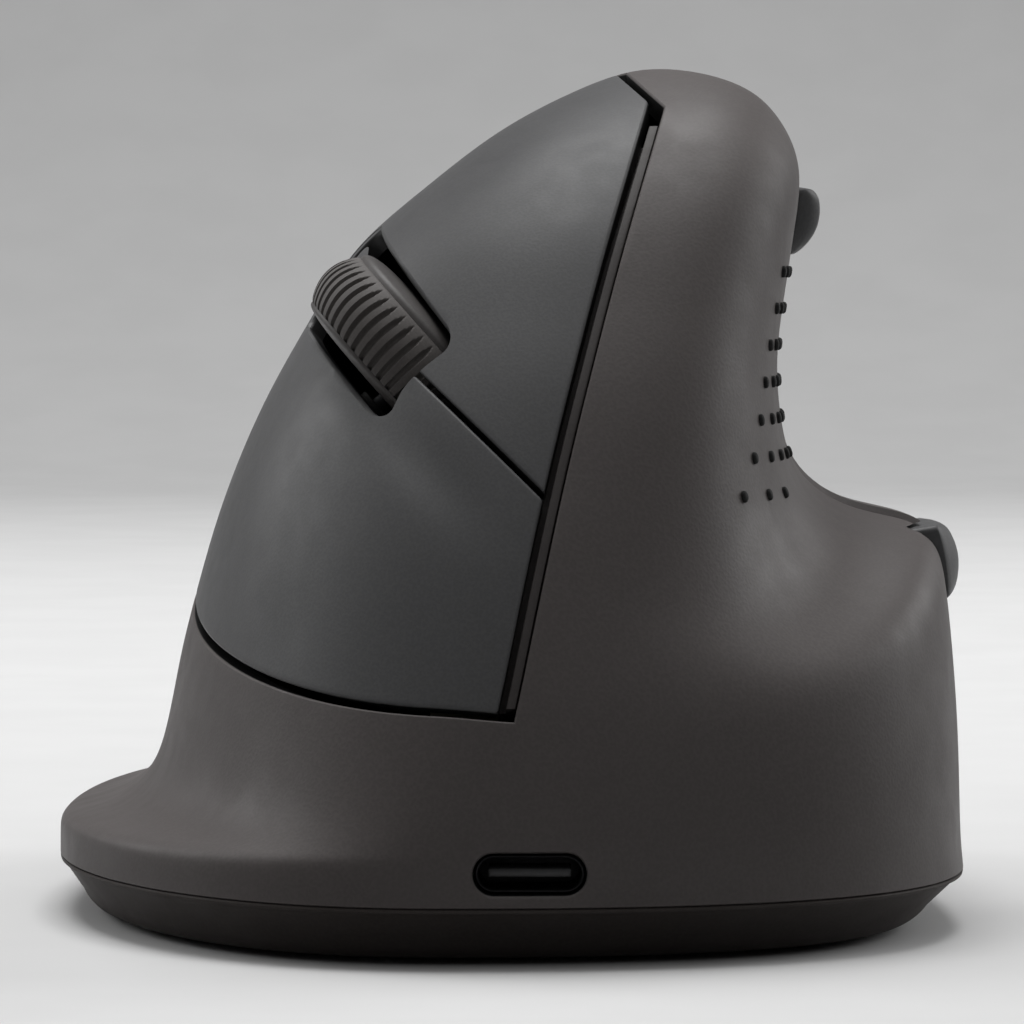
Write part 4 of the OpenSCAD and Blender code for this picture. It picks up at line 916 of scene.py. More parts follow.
@dataclass(frozen=True)
class MetalFinish:
    """Satin metal with fine drawing lines."""

    name: str
    colour: tuple[float, float, float, float]
    rough: float = 0.3

    def make(self, effects: Effects) -> bpy.types.Material:
        """Build the material from the shared groups."""
        material, sheet, shader = new_material(self.name)
        shader.inputs["Metallic"].default_value = 1.0
        where = sheet.node("ShaderNodeTexCoord").outputs["Object"]
        stretched = sheet.node("ShaderNodeMapping", {"Vector": where, "Scale": (1.0, 1.0, 14.0)})
        lines = sheet.noise(stretched.outputs[0], 1800.0, 2.0, 0.6)
        hand = put_group(sheet, effects.handling, Patch=6.0)
        dark = tuple(0.72 * c for c in self.colour[:3]) + (1.0,)
        sheet.tree.links.new(sheet.blend(sheet.ramp(lines, 0.3, 0.7), dark, self.colour),
                             shader.inputs["Base Color"])
        dull = sheet.ramp(hand.outputs["Mask"], 0.0, 1.0, self.rough, self.rough + 0.12)
        sheet.tree.links.new(dull, shader.inputs["Roughness"])
        bump = sheet.node("ShaderNodeBump", {"Strength": 0.6, "Distance": 4e-6, "Height": lines})
        sheet.tree.links.new(bump.outputs[0], shader.inputs["Normal"])
        return material


@dataclass(frozen=True)
class BoardFinish:
    """Circuit board: solder mask over copper tracks, with tinned pads."""

    name: str
    colour: tuple[float, float, float, float]

    def make(self, effects: Effects) -> bpy.types.Material:
        """Build the material from the shared groups."""
        material, sheet, shader = new_material(self.name)
        where = sheet.node("ShaderNodeTexCoord").outputs["Object"]
        tracks = sheet.node("ShaderNodeTexBrick", {"Vector": where, "Scale": 700.0, "Mortar Size": 0.09,
                                                   "Brick Width": 1.6, "Row Height": 0.7})
        dots = sheet.node("ShaderNodeTexVoronoi", {"Vector": where, "Scale": 420.0}).outputs["Distance"]
        pads = sheet.ramp(dots, 0.12, 0.16, 1.0, 0.0)
        pale = tuple(1.6 * c for c in self.colour[:3]) + (1.0,)
        base = sheet.blend(tracks.outputs["Fac"], self.colour, pale)
        base = sheet.blend(pads, base, srgb(128, 124, 112))
        sheet.tree.links.new(base, shader.inputs["Base Color"])
        hand = put_group(sheet, effects.handling, Patch=9.0)
        dull = sheet.ramp(hand.outputs["Mask"], 0.0, 1.0, 0.28, 0.4)
        sheet.tree.links.new(dull, shader.inputs["Roughness"])
        bump = sheet.node("ShaderNodeBump", {"Strength": 0.5, "Distance": 2e-5,
                                             "Height": tracks.outputs["Fac"]})
        sheet.tree.links.new(bump.outputs[0], shader.inputs["Normal"])
        return material


@dataclass(frozen=True)
class ClearFinish:
    """Clear moulded plastic of the sensor lens."""

    name: str
    colour: tuple[float, float, float, float]

    def make(self, effects: Effects) -> bpy.types.Material:
        """Build the material from the shared groups."""
        material, sheet, shader = new_material(self.name)
        shader.inputs["Transmission Weight"].default_value = 0.9
        shader.inputs["IOR"].default_value = 1.5
        hand = put_group(sheet, effects.handling, Patch=3.0)
        pale = tuple(min(1, 1.08 * c) for c in self.colour[:3]) + (1.0,)
        base = sheet.blend(hand.outputs["Mask"], self.colour, pale)
        dull = sheet.ramp(hand.outputs["Mask"], 0.0, 1.0, 0.06, 0.14)
        sheet.tree.links.new(base, shader.inputs["Base Color"])
        sheet.tree.links.new(dull, shader.inputs["Roughness"])
        return material


# Black painted as shade on the deep faces of the housing and keys: opening and hole walls, key sides and
# backs.
PAINTED_SHADE_BLACK = srgb(14, 14, 14)
FINISHES: dict[Slot, MouldedFinish | MetalFinish | BoardFinish | ClearFinish] = {
    Slot.BODY: MouldedFinish("warm_grey_housing", srgb(86, 81, 80), 0.56, 0.28, 11.0, painted_shade_colour=PAINTED_SHADE_BLACK),
    Slot.KEYS: MouldedFinish("cool_grey_keys", srgb(84, 84, 85), 0.5, 0.24, 7.0, painted_shade_colour=PAINTED_SHADE_BLACK),
    Slot.BASE: MouldedFinish("dark_base", srgb(64, 59, 57), 0.62, 0.3, 12.0, gloss=0.16),
    Slot.FRAME: MouldedFinish("black_inner_moulding", srgb(34, 33, 32), 0.5, 0.4, 8.0, edge=0.1),
    Slot.TREAD: MouldedFinish("warm_grey_rubber", srgb(92, 88, 86), 0.68, 0.2, 10.0, polish=0.12, sheen=0.15),
    Slot.CORE: MouldedFinish("warm_grey_wheel_core", srgb(80, 77, 76), 0.5, 0.24, 6.0),
    Slot.METAL: MetalFinish("satin_steel", srgb(186, 186, 190)),
    # Socket steel darkened to near black: painted shade for the inside of the socket.
    Slot.SOCKET: MetalFinish("painted_shade_socket_steel", srgb(40, 40, 41), 0.45),
    Slot.BOARD: BoardFinish("green_solder_mask", srgb(28, 74, 48)),
    Slot.SWITCH: MouldedFinish("black_switch_body", srgb(26, 26, 27), 0.42, 0.3, 5.0, edge=0.15,
                               patch_mm=4.0),
    Slot.LENS: ClearFinish("clear_lens", srgb(222, 222, 228)),
    Slot.CELL: MouldedFinish("silver_cell_wrap", srgb(188, 192, 200), 0.35, 1.2, 20.0, edge=0.1, gloss=0.5),
    Slot.FLEX: MouldedFinish("ribbon_film", srgb(216, 208, 190), 0.4, 0.8, 6.0, edge=0.05),
    Slot.GLIDE: MouldedFinish("slick_glide", srgb(40, 40, 41), 0.26, 0.6, 5.0, polish=0.1, edge=0.4,
                              patch_mm=5.0, gloss=0.5),
}

# Finishes of pieces that differ a little from the rest of their slot
OWN_FINISHES: dict[str, MouldedFinish | MetalFinish] = {
    # Axle steel darkened to near black: painted shade for the axle inside the wheel's slot.
    "wheel_axle": MetalFinish("painted_shade_axle_steel", srgb(44, 44, 45), 0.5),
    # A darker copy of the housing grey: painted shade for the strip in the nose gap.
    "gap_strip": MouldedFinish("painted_shade_strip", srgb(64, 60, 59), 0.6, 0.3, 8.0, edge=0.1),
    "thumb_grip_pips": MouldedFinish("black_pips", srgb(22, 22, 22), 0.75, 0.3, 4.0, edge=0.0, patch_mm=4.0),
    "socket_tongue": MouldedFinish("socket_tongue", srgb(78, 78, 79), 0.5, 0.3, 4.0, edge=0.1, patch_mm=3.0),
}


class Dresser:
    """Puts finishes on pieces and ties them to bodies, slots and nodes."""

    def __init__(self) -> None:
        """Build each finish once."""
        effects = Effects()
        self.materials = {slot: finish.make(effects) for slot, finish in FINISHES.items()}
        self.own = {name: finish.make(effects) for name, finish in OWN_FINISHES.items()}

    def wear(self, obj: bpy.types.Object, slot: Slot) -> None:
        """Give every face of an object one finish."""
        obj.data.materials.clear()
        obj.data.materials.append(self.own.get(obj.name, self.materials[slot]))

    def place(self, obj: bpy.types.Object, body: Body, slot: Slot, *nodes: str) -> bpy.types.Object:
        """Finish a piece and tie it to the frame.

        Args:
            obj: The piece.
            body: Body that it rides on.
            slot: Material slot of its finish.
            *nodes: Solids that it stands for.

        Returns:
            The piece.
        """
        self.wear(obj, slot)
        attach(obj, body.value)
        if nodes:
            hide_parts(*nodes)
        LOG.info("%s: %d faces on %s", obj.name, len(obj.data.polygons), body.value)
        return obj

    def dress_nodes(self) -> None:
        """Finish every solid that still shows, by its slot in the record."""
        slots = {row["node"]: row["material_slot"] for row in frame["record"]["subparts"]}
        for name, obj in frame["nodes"].items():
            if not obj.hide_render:
                self.wear(obj, Slot(slots[name]))
                shade(obj, 30.0)


# ---------------------------------------------------------------- sub-assemblies


@dataclass
class SideFrame:
    """Frame of a row of buttons on the thumb side, on the axis of the arc that the wall follows."""

    loft: BodyLoft
    y: float
    z: float
    half: float
    slope: float = 0.0

    def __post_init__(self) -> None:
        """Work out the axes and the arc's radius."""
        p, n = self._at(self.y), self.loft.normal(*self.loft.beside(1, self.y, self.z))
        self.n = n
        self.e = unit(np.cross([0, 0, 1.0], n))
        self.up = np.cross(n, self.e)
        a, b = self._at(self.y - self.half), self._at(self.y + self.half)
        chord = np.linalg.norm(b - a)
        sag = (p - (a + b) / 2) @ n
        self.radius = (chord**2 / 4 + sag**2) / (2 * sag)
        self.origin = p - self.radius * n

    def _at(self, y: float) -> Array:
        """Point of the body at the row's height."""
        return self.loft.point(*self.loft.beside(1, y, self.z))

    def place(self, radial: Array, angle: Array, high: Array) -> Array:
        """Points at a radius, an angle in degrees and a height in this frame."""
        radial, angle, high = np.broadcast_arrays(radial, np.radians(angle), high)
        x, y = radial * np.cos(angle), radial * np.sin(angle)
        c, s = math.cos(math.radians(self.slope)), math.sin(math.radians(self.slope))
        y, z = c * y - s * high, s * y + c * high
        return (self.origin + x[..., None] * self.n + y[..., None] * self.e + z[..., None] * self.up)

    def degrees(self, mm: float) -> float:
        """Angle of a length along the arc."""
        return math.degrees(mm / self.radius)


@dataclass
class Housing:
    """One-piece upper housing with its opening, button holes and socket hole."""

    loft: BodyLoft
    opening: KeyOpening
    wall: float = 2.0
    skirt_level: float = 2.4
    seam_round: float = 0.3
    edge_round: float = 0.22
    # Depth under the outer surface past which faces get the black painted shade.
    painted_shade_depth: float = 0.16
    columns: int = 60

    def directions(self) -> Array:
        """Directions of the columns, spread evenly round the squarer corners."""
        out = []
        for start in (0, 90, 180, 270):
            v = np.arange(self.columns) / self.columns
            k = 1.4 if start == 270 else 1.1
            out.append(start + 90 * v**k / (v**k + (1 - v) ** k))
        return np.concatenate(out)

    def shell(self) -> bpy.types.Object:
        """The closed shell before anything is cut out of it."""
        loft, t = self.loft, self.directions()[None]
        u = np.concatenate([np.arange(0.06, 6, 0.07), np.linspace(6, loft.top - 0.06, 96)])[:, None]
        foot = loft.point(0, t[0])
        inward = -unit(loft.normal(np.full(t[0].shape, 0.05), t[0]) * [1, 1, 0])
        r = self.seam_round
        rim = [foot + inward * r * (1 - math.sin(a)) + [0, 0, r * (1 - math.cos(a))]
               for a in np.radians([0, 22, 45, 67])]
        body = loft.point(u, t)
        plan = MeshPlan()
        outer = np.concatenate([plan.add(np.array(rim)), plan.add(body)])
        plan.sheet(outer, around=True)
        plan.fan(outer[-1], loft.point(loft.top, 0))
        lined = u[:, 0] > self.skirt_level
        lining = plan.add(loft.inside(u[lined], t, self.wall))
        plan.sheet(lining, around=True, flip=True)
        plan.fan(lining[-1], loft.point(loft.top, 0) - [0, 0, self.wall], flip=True)
        skirt = plan_points(plan, lining[0]).copy()
        skirt[:, 2] = loft.seam
        low = plan.add(skirt)
        plan.band(low, lining[0], flip=True)
        plan.band(low, outer[0])
        return plan.build("main_housing")

    def skin(self) -> BVHTree:
        """Search tree of the outer surface alone."""
        u = np.linspace(0, self.loft.top - 0.06, 150)[:, None]
        plan = MeshPlan()
        grid = plan.add(self.loft.point(u, self.directions()[None]))
        plan.sheet(grid, around=True)
        plan.cap(grid[-1])
        obj = plan.build("housing_skin")
        tree = search_tree(obj)
        bpy.data.objects.remove(obj)
        return tree

    def opening_cutter(self) -> bpy.types.Object:
        """Cutter for the key opening, which follows the surface."""
        loft, opening = self.loft, self.opening
        s = np.linspace(0, 1, 140)[None]
        w = np.linspace(0, 1, 70)[:, None]
        u = mix(opening.low(s), opening.high(s), w)
        t = opening.turn(u, s)
        p, n = loft.point(u, t), loft.normal(u, t)
        loop = [np.s_[0, :-1], np.s_[:-1, -1], np.s_[-1, :0:-1], np.s_[:0:-1, 0]]
        edge, facing = (np.concatenate([x[part] for part in loop]) for x in (p, n))
        side = outward(edge, facing)
        deep = self.wall + 1.2
        rows = edge_rows(edge, facing, side, self.edge_round, deep, 0.6)
        plan = MeshPlan()
        grids = []
        for height, row in ((0.6, rows[0]), (-deep, rows[-1])):
            sheet = p + height * n
            where = 0
            for part in loop:
                length = len(sheet[part])
                sheet[part] = row[where:where + length]
                where += length
            grids.append(plan.add(sheet))
        plan.sheet(grids[0])
        plan.sheet(grids[1], flip=True)
        rings = [np.concatenate([g[part] for part in loop]) for g in grids]
        middle = [plan.add(row) for row in rows[1:-1]]
        stack = [rings[0], *middle, rings[1]]
        for upper, lower in zip(stack, stack[1:]):
            plan.band(lower, upper)
        return plan.build("opening_cutter")


def surface_loop(tree: BVHTree, starts: Array, way: Array, reach: float = 1e3) -> tuple[Array, Array]:
    """Points and facing where rays meet a surface.

    Args:
        tree: Search tree of the surface, in metres.
        starts: Ray starts, outside the surface.
        way: Ray directions.
        reach: Distance in millimetres at which a ray stops if it has met nothing.

    Returns:
        Hit points in millimetres and the directions back along the rays.
    """
    hits = []
    for p, d in zip(starts, np.broadcast_to(way, starts.shape)):
        hit = tree.ray_cast(Vector(p * MM), Vector(d))
        hits.append(p + d * min(hit[3] / MM if hit[0] is not None else 0.0, reach))
    return np.array(hits), -unit(np.broadcast_to(way, starts.shape))


def search_tree(obj: bpy.types.Object) -> BVHTree:
    """Search tree of a mesh object."""
    mesh = obj.data
    return BVHTree.FromPolygons([v.co[:] for v in mesh.vertices], [p.vertices[:] for p in mesh.polygons])


@dataclass
class FingerKeys:
    """The two finger keys, with the wheel's slot between them."""

    opening: KeyOpening
    thick: float = 1.8
    edge_round: float = 0.3
    slot_round: float = 0.6
    # Depth under the key surface past which faces get the black painted shade.
    painted_shade_depth: float = 0.22
    columns: int = 120
    rows: int = 46
    slot_clear: float = 0.4
    slot_corner: float = 1.6
    slot_deep: float = 9.0
    slot_sides: tuple[float, float, float] = (-4.8, 4.2, 5.4)
    run_x: float = -4.6
    run_half: float = 2.3
    run_deep: float = 0.7
    run_fades: tuple[float, float, float, float] = (-24.0, -15.0, -9.0, 3.0)

    def run(self, p: Array) -> Array:
        """Depth of the shallow finger run that leads down from the slot, at points of the surface."""
        local = self.opening.fingers.local(p)
        a, b, c, d = self.run_fades
        along = smooth_step(a, b, local[..., 1]) * (1 - smooth_step(c, d, local[..., 1]))
        return self.run_deep * along * np.exp(-(((local[..., 0] - self.run_x) / self.run_half) ** 2))

    def plate(self, name: str, lower: Callable[[Array], Array], upper: Callable[[Array], Array]
              ) -> bpy.types.Object:
        """A plate that follows the body, with rounded edges.

        Args:
            name: Name of the piece.
            lower: Level of the lower edge by place along the opening.
            upper: Level of the upper edge.

        Returns:
            The closed plate.
        """
        opening, loft = self.opening, self.opening.loft
        edge = fillet_steps(self.edge_round)
        s0 = np.linspace(0, 1, 61)[None]
        w0 = np.linspace(0, 1, 25)[:, None]
        u0 = mix(lower(s0), upper(s0), w0)
        p0 = loft.point(u0, opening.key_turn(u0, s0))
        long = np.linalg.norm(np.diff(p0, axis=1), axis=-1).sum(1)
        wide = np.linalg.norm(np.diff(p0, axis=0), axis=-1).sum(0)

        def spread(count: int) -> tuple[Array, Array, Array]:
            """Even shares with fillet steps at both ends, and the fixed part of each."""
            inner = np.linspace(0, 1, count)
            far = np.full(count, 1e3)
            return (np.concatenate([edge * 0, inner[1:-1], edge * 0 + 1]),
                    np.concatenate([edge, far[1:-1] * 0, -edge[::-1]]),
                    np.concatenate([edge, far[1:-1], edge[::-1]]))

        share_s, fix_s, from_s = spread(self.columns)
        share_w, fix_w, from_w = spread(self.rows)
        w_guess = share_w[:, None]
        reach = np.interp(w_guess[:, 0], w0[:, 0], long)[:, None]
        s = np.clip(share_s[None] + fix_s[None] / reach, 0, 1)
        width = np.interp(s, s0[0], wide)
        w = np.clip(share_w[:, None] + fix_w[:, None] / width, 0, 1)
        u = mix(lower(s), upper(s), w)
        t = opening.key_turn(u, s)
        drop = fillet_drop(self.edge_round, from_s[None], from_w[:, None])
        facing = loft.normal(u, t)
        p = loft.point(u, t)
        drop = drop + self.run(p)
        plan = MeshPlan()
        face = plan.add(p - drop[..., None] * facing)
        back = plan.add(p - self.thick * facing)
        plan.sheet(face)
        plan.sheet(back, flip=True)
        loop = [np.s_[0, :-1], np.s_[:-1, -1], np.s_[-1, :0:-1], np.s_[:0:-1, 0]]
        rings = [np.concatenate([g[part] for part in loop]) for g in (face, back)]
        plan.band(rings[1], rings[0])
        return plan.build(name)

    def skin(self) -> BVHTree:
        """Search tree of the surface that both keys follow."""
        s = np.linspace(0, 1, 120)[None]
        w = np.linspace(0, 1, 80)[:, None]
        u = mix(self.opening.key_low(s), self.opening.key_high(s), w)
        plan = MeshPlan()
        t = self.opening.key_turn(u, s)
        p = self.opening.loft.point(u, t)
        plan.sheet(plan.add(p - self.run(p)[..., None] * self.opening.loft.normal(u, t)))
        obj = plan.build("key_skin")
        tree = search_tree(obj)
        bpy.data.objects.remove(obj)
        return tree

    def slot_cutter(self, name: str, skin: BVHTree) -> bpy.types.Object:
        """Cutter for the wheel's slot, wider towards its rear end on the upper side.

        Args:
            name: Name of the cutter.
            skin: Search tree of the keys' surface.

        Returns:
            The cutter.
        """
        fingers = self.opening.fingers
        end = fingers.wheel_r + self.slot_clear
        low, front, rear = self.slot_sides
        corners = [(low, -end), (front, -end), (rear, end), (low, end)]
        flat = rounded_outline(corners, self.slot_corner, 0.35)
        starts = fingers.world(np.column_stack([flat, np.full(len(flat), 40.0)]))
        loop, facing = surface_loop(skin, starts, -fingers.out)
        return plate_cutter(name, loop, facing, self.slot_round, self.slot_deep, above=1.2)

    def build(self, dresser: Dresser) -> None:
        """Build both keys and put them on their bodies."""
        opening = self.opening
        half = opening.split_gap / 2
        skin = self.skin()
        upper = self.plate("upper_finger_key", lambda s: opening.split(s, half), opening.key_high)
        lower = self.plate("lower_finger_key", opening.key_low, lambda s: opening.split(s, -half))
        for obj, body in ((upper, Body.UPPER_KEY), (lower, Body.LOWER_KEY)):
            carve(obj, [self.slot_cutter("slot_cutter", skin)])
            # Key sides, backs and slot walls get the black painted shade.
            mark_painted_shade(obj, skin, self.painted_shade_depth)
            dresser.place(obj, body, Slot.KEYS, body.value)


@dataclass
class ScrollWheel:
    """Ribbed tyre on a hub with domed sides."""

    fingers: FingerFrame
    tread_w: float = 5.5
    domes: tuple[float, float] = (0.9, 1.4)
    crown: float = 1.0
    ribs: int = 60
    rib_depth: float = 0.5
    groove_share: float = 0.48
    groove_fade: tuple[float, float] = (0.35, 0.97)
    tyre_t: float = 1.7
    axle_r: float = 1.2

    def lathe(self, profile: Array, name: str, steps: int = 144,
              groove: Callable[[Array, Array], Array] | None = None) -> bpy.types.Object:
        """A closed ring turned about the axle.

        Args:
            profile: Radius and place along the axle of a closed outline.
            name: Name of the piece.
            steps: Points round the ring.
            groove: Depth cut at each angle and place on the outermost part.

        Returns:
            The piece.
        """
        angle = np.linspace(0, 2 * math.pi, steps, endpoint=False)[None]
        radius = profile[:, :1] + 0 * angle
        if groove is not None:
            radius = radius - groove(angle, profile)
        local = np.stack([profile[:, 1:] + 0 * angle, radius * np.sin(angle), radius * np.cos(angle)], -1)
        plan = MeshPlan()
        index = plan.add(self.fingers.world(local))
        plan.sheet(np.concatenate([index, index[:1]]), around=True)
        return plan.build(name, 50.0)

    def tyre(self) -> bpy.types.Object:
        """The crowned tyre, with grooves that run out before its upper rim."""
        r, half = self.fingers.wheel_r, self.tread_w / 2
        x = np.linspace(-1, 1, 57)
        outside = np.column_stack([r - self.crown * x**2 - 0.12 * np.abs(x) ** 24, x * half])
        inside = np.array([[r - self.tyre_t, half], [r - self.tyre_t, -half]])
        profile = np.concatenate([outside, inside])

        def groove(angle: Array, outline: Array) -> Array:
            """Rounded grooves, one for each rib."""
            place = outline[:, 1:] / half
            fade = 1 - smooth_step(*self.groove_fade, place)
            wave = 0.5 + 0.5 * np.cos(angle * self.ribs)
            cut = np.clip((wave - 1 + self.groove_share * fade) / self.groove_share, 0, 1)
            return self.rib_depth * cut * (2 - cut) * (outline[:, :1] > r - self.tyre_t + 0.1)

        return self.lathe(profile, "wheel_tread", self.ribs * 12, groove)

    def hub(self) -> bpy.types.Object:
        """The hub, whose domed sides show beside the tread."""
        r, half = self.fingers.wheel_r, self.tread_w / 2
        a = np.linspace(0, math.pi / 2, 28)
        sides = []
        for dome in self.domes:
            bend = np.column_stack([mix(2 * self.axle_r, r - self.crown - 0.1, np.cos(a) ** (2 / 3)),
                                    half + dome * np.sin(a) ** (2 / 3)])
            sides.append(np.concatenate([[[r - self.tyre_t, half]], bend, [[self.axle_r, half + dome]]]))
        left, right = sides[0][::-1] * [1, -1], sides[1]
        return self.lathe(np.concatenate([left, right])[::-1], "wheel_core")

    def build(self, dresser: Dresser) -> None:
        """Build the wheel and put it on its body."""
        dresser.place(self.tyre(), Body.WHEEL, Slot.TREAD, "wheel_tyre")
        dresser.place(self.hub(), Body.WHEEL, Slot.CORE, "wheel_hub")


@dataclass
class ButtonCap:
    """A bulged cap on the thumb side, swept along the wall's arc."""

    seat: SideFrame
    high: float
    proud: float
    profile: tuple[tuple[float, float], ...]
    back: float = 3.4
    end_round: float = 0.6
    end_fall: float = 1.6
    end_share: float = 0.75
    away: float = 12.0
    hole_round: float = 0.3
    hole_deep: float = 5.5
    dip: float = 1.2
    clear: float = 0.3

    def section(self) -> Array:
        """Closed outline of the cap across its arc, as radius and height."""
        shares = np.array(self.profile)
        k = np.linspace(0, len(shares) - 1, 6 * (len(shares) - 1) + 1)
        base = np.clip(np.floor(k), 0, len(shares) - 2).astype(int)
        f = (k - base)[:, None]
        last = len(shares) - 1
        a, b, c, d = (shares[np.clip(base + j, 0, last)] for j in (-1, 0, 1, 2))
        curve = catmull_rom(a, b, c, d, f)
        face = np.column_stack([self.seat.radius + self.proud * curve[:, 0], self.high * curve[:, 1]])
        tail = self.seat.radius - self.back
        return np.concatenate([face, [[tail, -self.high / 2], [tail, self.high / 2]]])[::-1]

    def build(self, name: str, start: float, stop: float) -> bpy.types.Object:
        """The cap from one angle to another, with rounded ends.

        Args:
            name: Name of the piece.
            start: First angle in degrees.
            stop: Last angle in degrees.

        Returns:
            The closed cap.
        """
        outline = self.section()
        steps = fillet_steps(self.end_round)
        ends = [self.seat.degrees(float(d)) for d in steps]
        angles = ([start + d for d in ends] + list(np.linspace(start, stop, 44)[4:-4])
                  + [stop - d for d in ends[::-1]])
        r = self.end_round
        drops = [r - math.sqrt(max(0, r**2 - (r - d) ** 2)) for d in steps]
        pulls = drops + [0.0] * 36 + drops[::-1]
        plan = MeshPlan()
        rows = []
        for angle, pull in zip(angles, pulls):
            ring = inset(outline, pull) if pull else outline
            inward = math.radians(min(angle - start, stop - angle)) * self.seat.radius
            fall = 1 - self.end_share * max(0.0, 1 - inward / self.end_fall) ** 2
            over = np.maximum(0, ring[:, 0] - self.seat.radius)
            rows.append(plan.add(self.seat.place(ring[:, 0] - over * (1 - fall), angle, ring[:, 1])))
        plan.sheet(np.stack(rows), around=True)
        plan.cap(rows[0], flip=True)
        plan.cap(rows[-1])
        return plan.build(name, 50.0)

    def hole_cutter(self, name: str, start: float, stop: float, tree: BVHTree) -> bpy.types.Object:
        """Cutter for the hole round the cap or a row of caps.

        Args:
            name: Name of the cutter.
            start: First angle of the caps in degrees.
            stop: Last angle in degrees.
            tree: Search tree of the housing.

        Returns:
            The cutter.
        """
        more = self.seat.degrees(self.clear)
        tall = self.high / 2 + self.clear
        r = self.seat.radius
        a, b = math.radians(start - more) * r, math.radians(stop + more) * r
        flat = rounded_outline([(a, -tall), (b, -tall), (b, tall), (a, tall)], 0.5, 0.4)
        angle = np.degrees(flat[:, 0] / r)
        starts = self.seat.place(r + self.away, angle, flat[:, 1])
        way = unit(self.seat.place(r, angle, flat[:, 1]) - starts)
        loop, facing = surface_loop(tree, starts, way, self.away + self.dip)
        return plate_cutter(name, loop, facing, self.hole_round, self.hole_deep, above=0.8)


@dataclass
class ThumbSide:
    """Thumb buttons, mode button and grip pips."""

    loft: BodyLoft
    cap_l: float = 12.0
    gap: float = 0.8
    mode_l: float = 15.0
    pip_rows: int = 7
    pip_columns: int = 8
    pip_pitch: float = 3.1
    pip_reach: float = 2.6
    pip_spread: float = 0.3
    pip_top_z: float = 56.1
    pip_front_y: float = -25.5
    pip_step: float = 1.85
    pip_bend: float = 0.1
    pip_fewer: tuple[int, ...] = (0, 0, 0, 1, 2, 3, 5)
    pip_half: tuple[float, float] = (0.375, 0.5)
    pip_h: float = 0.36

    def __post_init__(self) -> None:
        """Set up the caps in their frames."""
        self.thumb = ButtonCap(SideFrame(self.loft, 1.0, 60.8, self.cap_l, 2.0), 6.0, 2.35, (
            (0, 0.5), (0.5, 0.5), (0.72, 0.46), (0.89, 0.37), (0.98, 0.23), (1, 0.1), (0.96, -0.05),
            (0.82, -0.2), (0.6, -0.34), (0.3, -0.46), (0, -0.5)))
        self.mode = ButtonCap(SideFrame(self.loft, -12.0, 31.1, self.mode_l / 2), 6.4, 1.7, (
            (0, 0.5), (0.4, 0.47), (0.72, 0.38), (0.92, 0.22), (1, 0.06), (0.97, -0.08), (0.86, -0.22),
            (0.66, -0.36), (0.38, -0.46), (0, -0.5)), end_fall=5.0)
        seat = self.thumb.seat
        self.inner = seat.degrees(self.gap / 2)
        self.outer = self.inner + seat.degrees(self.cap_l)
        self.mode_end = self.mode.seat.degrees(self.mode_l) / 2

    def cutters(self, tree: BVHTree) -> list[bpy.types.Object]:
        """Cutters for the holes of the buttons."""
        return [self.thumb.hole_cutter("thumb_hole", -self.outer, self.outer, tree),
                self.mode.hole_cutter("mode_hole", -self.mode_end, self.mode_end, tree)]

    def pips(self) -> bpy.types.Object:
        """Oval domes in rows on the thumb wall."""
        plan = MeshPlan()
        turn = np.linspace(0, 2 * math.pi, 16, endpoint=False)
        for i in range(self.pip_rows):
            for j in range(self.pip_columns - self.pip_fewer[i]):
                z = self.pip_top_z - i * self.pip_pitch
                y = (self.pip_front_y - i * self.pip_step - i * i * self.pip_bend
                     + j * (self.pip_reach + i * self.pip_spread))
                u, t = self.loft.beside(1, y, z)
                p, n = self.loft.point(u, t), self.loft.normal(u, t)
                e = unit(np.cross([0, 0, 1.0], n))
                up = np.cross(n, e)
                rows = []
                for tall, share in ((-0.5, 1.0), (0.15, 1.0), (0.25, 0.92), (0.32, 0.72), (self.pip_h, 0.4)):
                    ring = (p + tall * n + share * self.pip_half[0] * np.cos(turn)[:, None] * e
                            + share * self.pip_half[1] * np.sin(turn)[:, None] * up)
                    rows.append(plan.add(ring))
                plan.sheet(np.stack(rows), around=True)
                plan.cap(rows[0], flip=True)
                plan.cap(rows[-1])
        return plan.build("thumb_grip_pips", 60.0)

    def build(self, dresser: Dresser) -> None:
        """Build the buttons and pips and put them on their bodies."""
        forward = self.thumb.build("thumb_button_forward", -self.outer, -self.inner)
        back = self.thumb.build("thumb_button_back", self.inner, self.outer)
        mode = self.mode.build("mode_button_cap", -self.mode_end, self.mode_end)
        dresser.place(forward, Body.FORWARD, Slot.KEYS, "forward_button")
        dresser.place(back, Body.BACK, Slot.KEYS, "back_button")
        dresser.place(mode, Body.MODE, Slot.KEYS, "mode_button")
        dresser.place(self.pips(), Body.HOUSING, Slot.FRAME, "grip_pips")


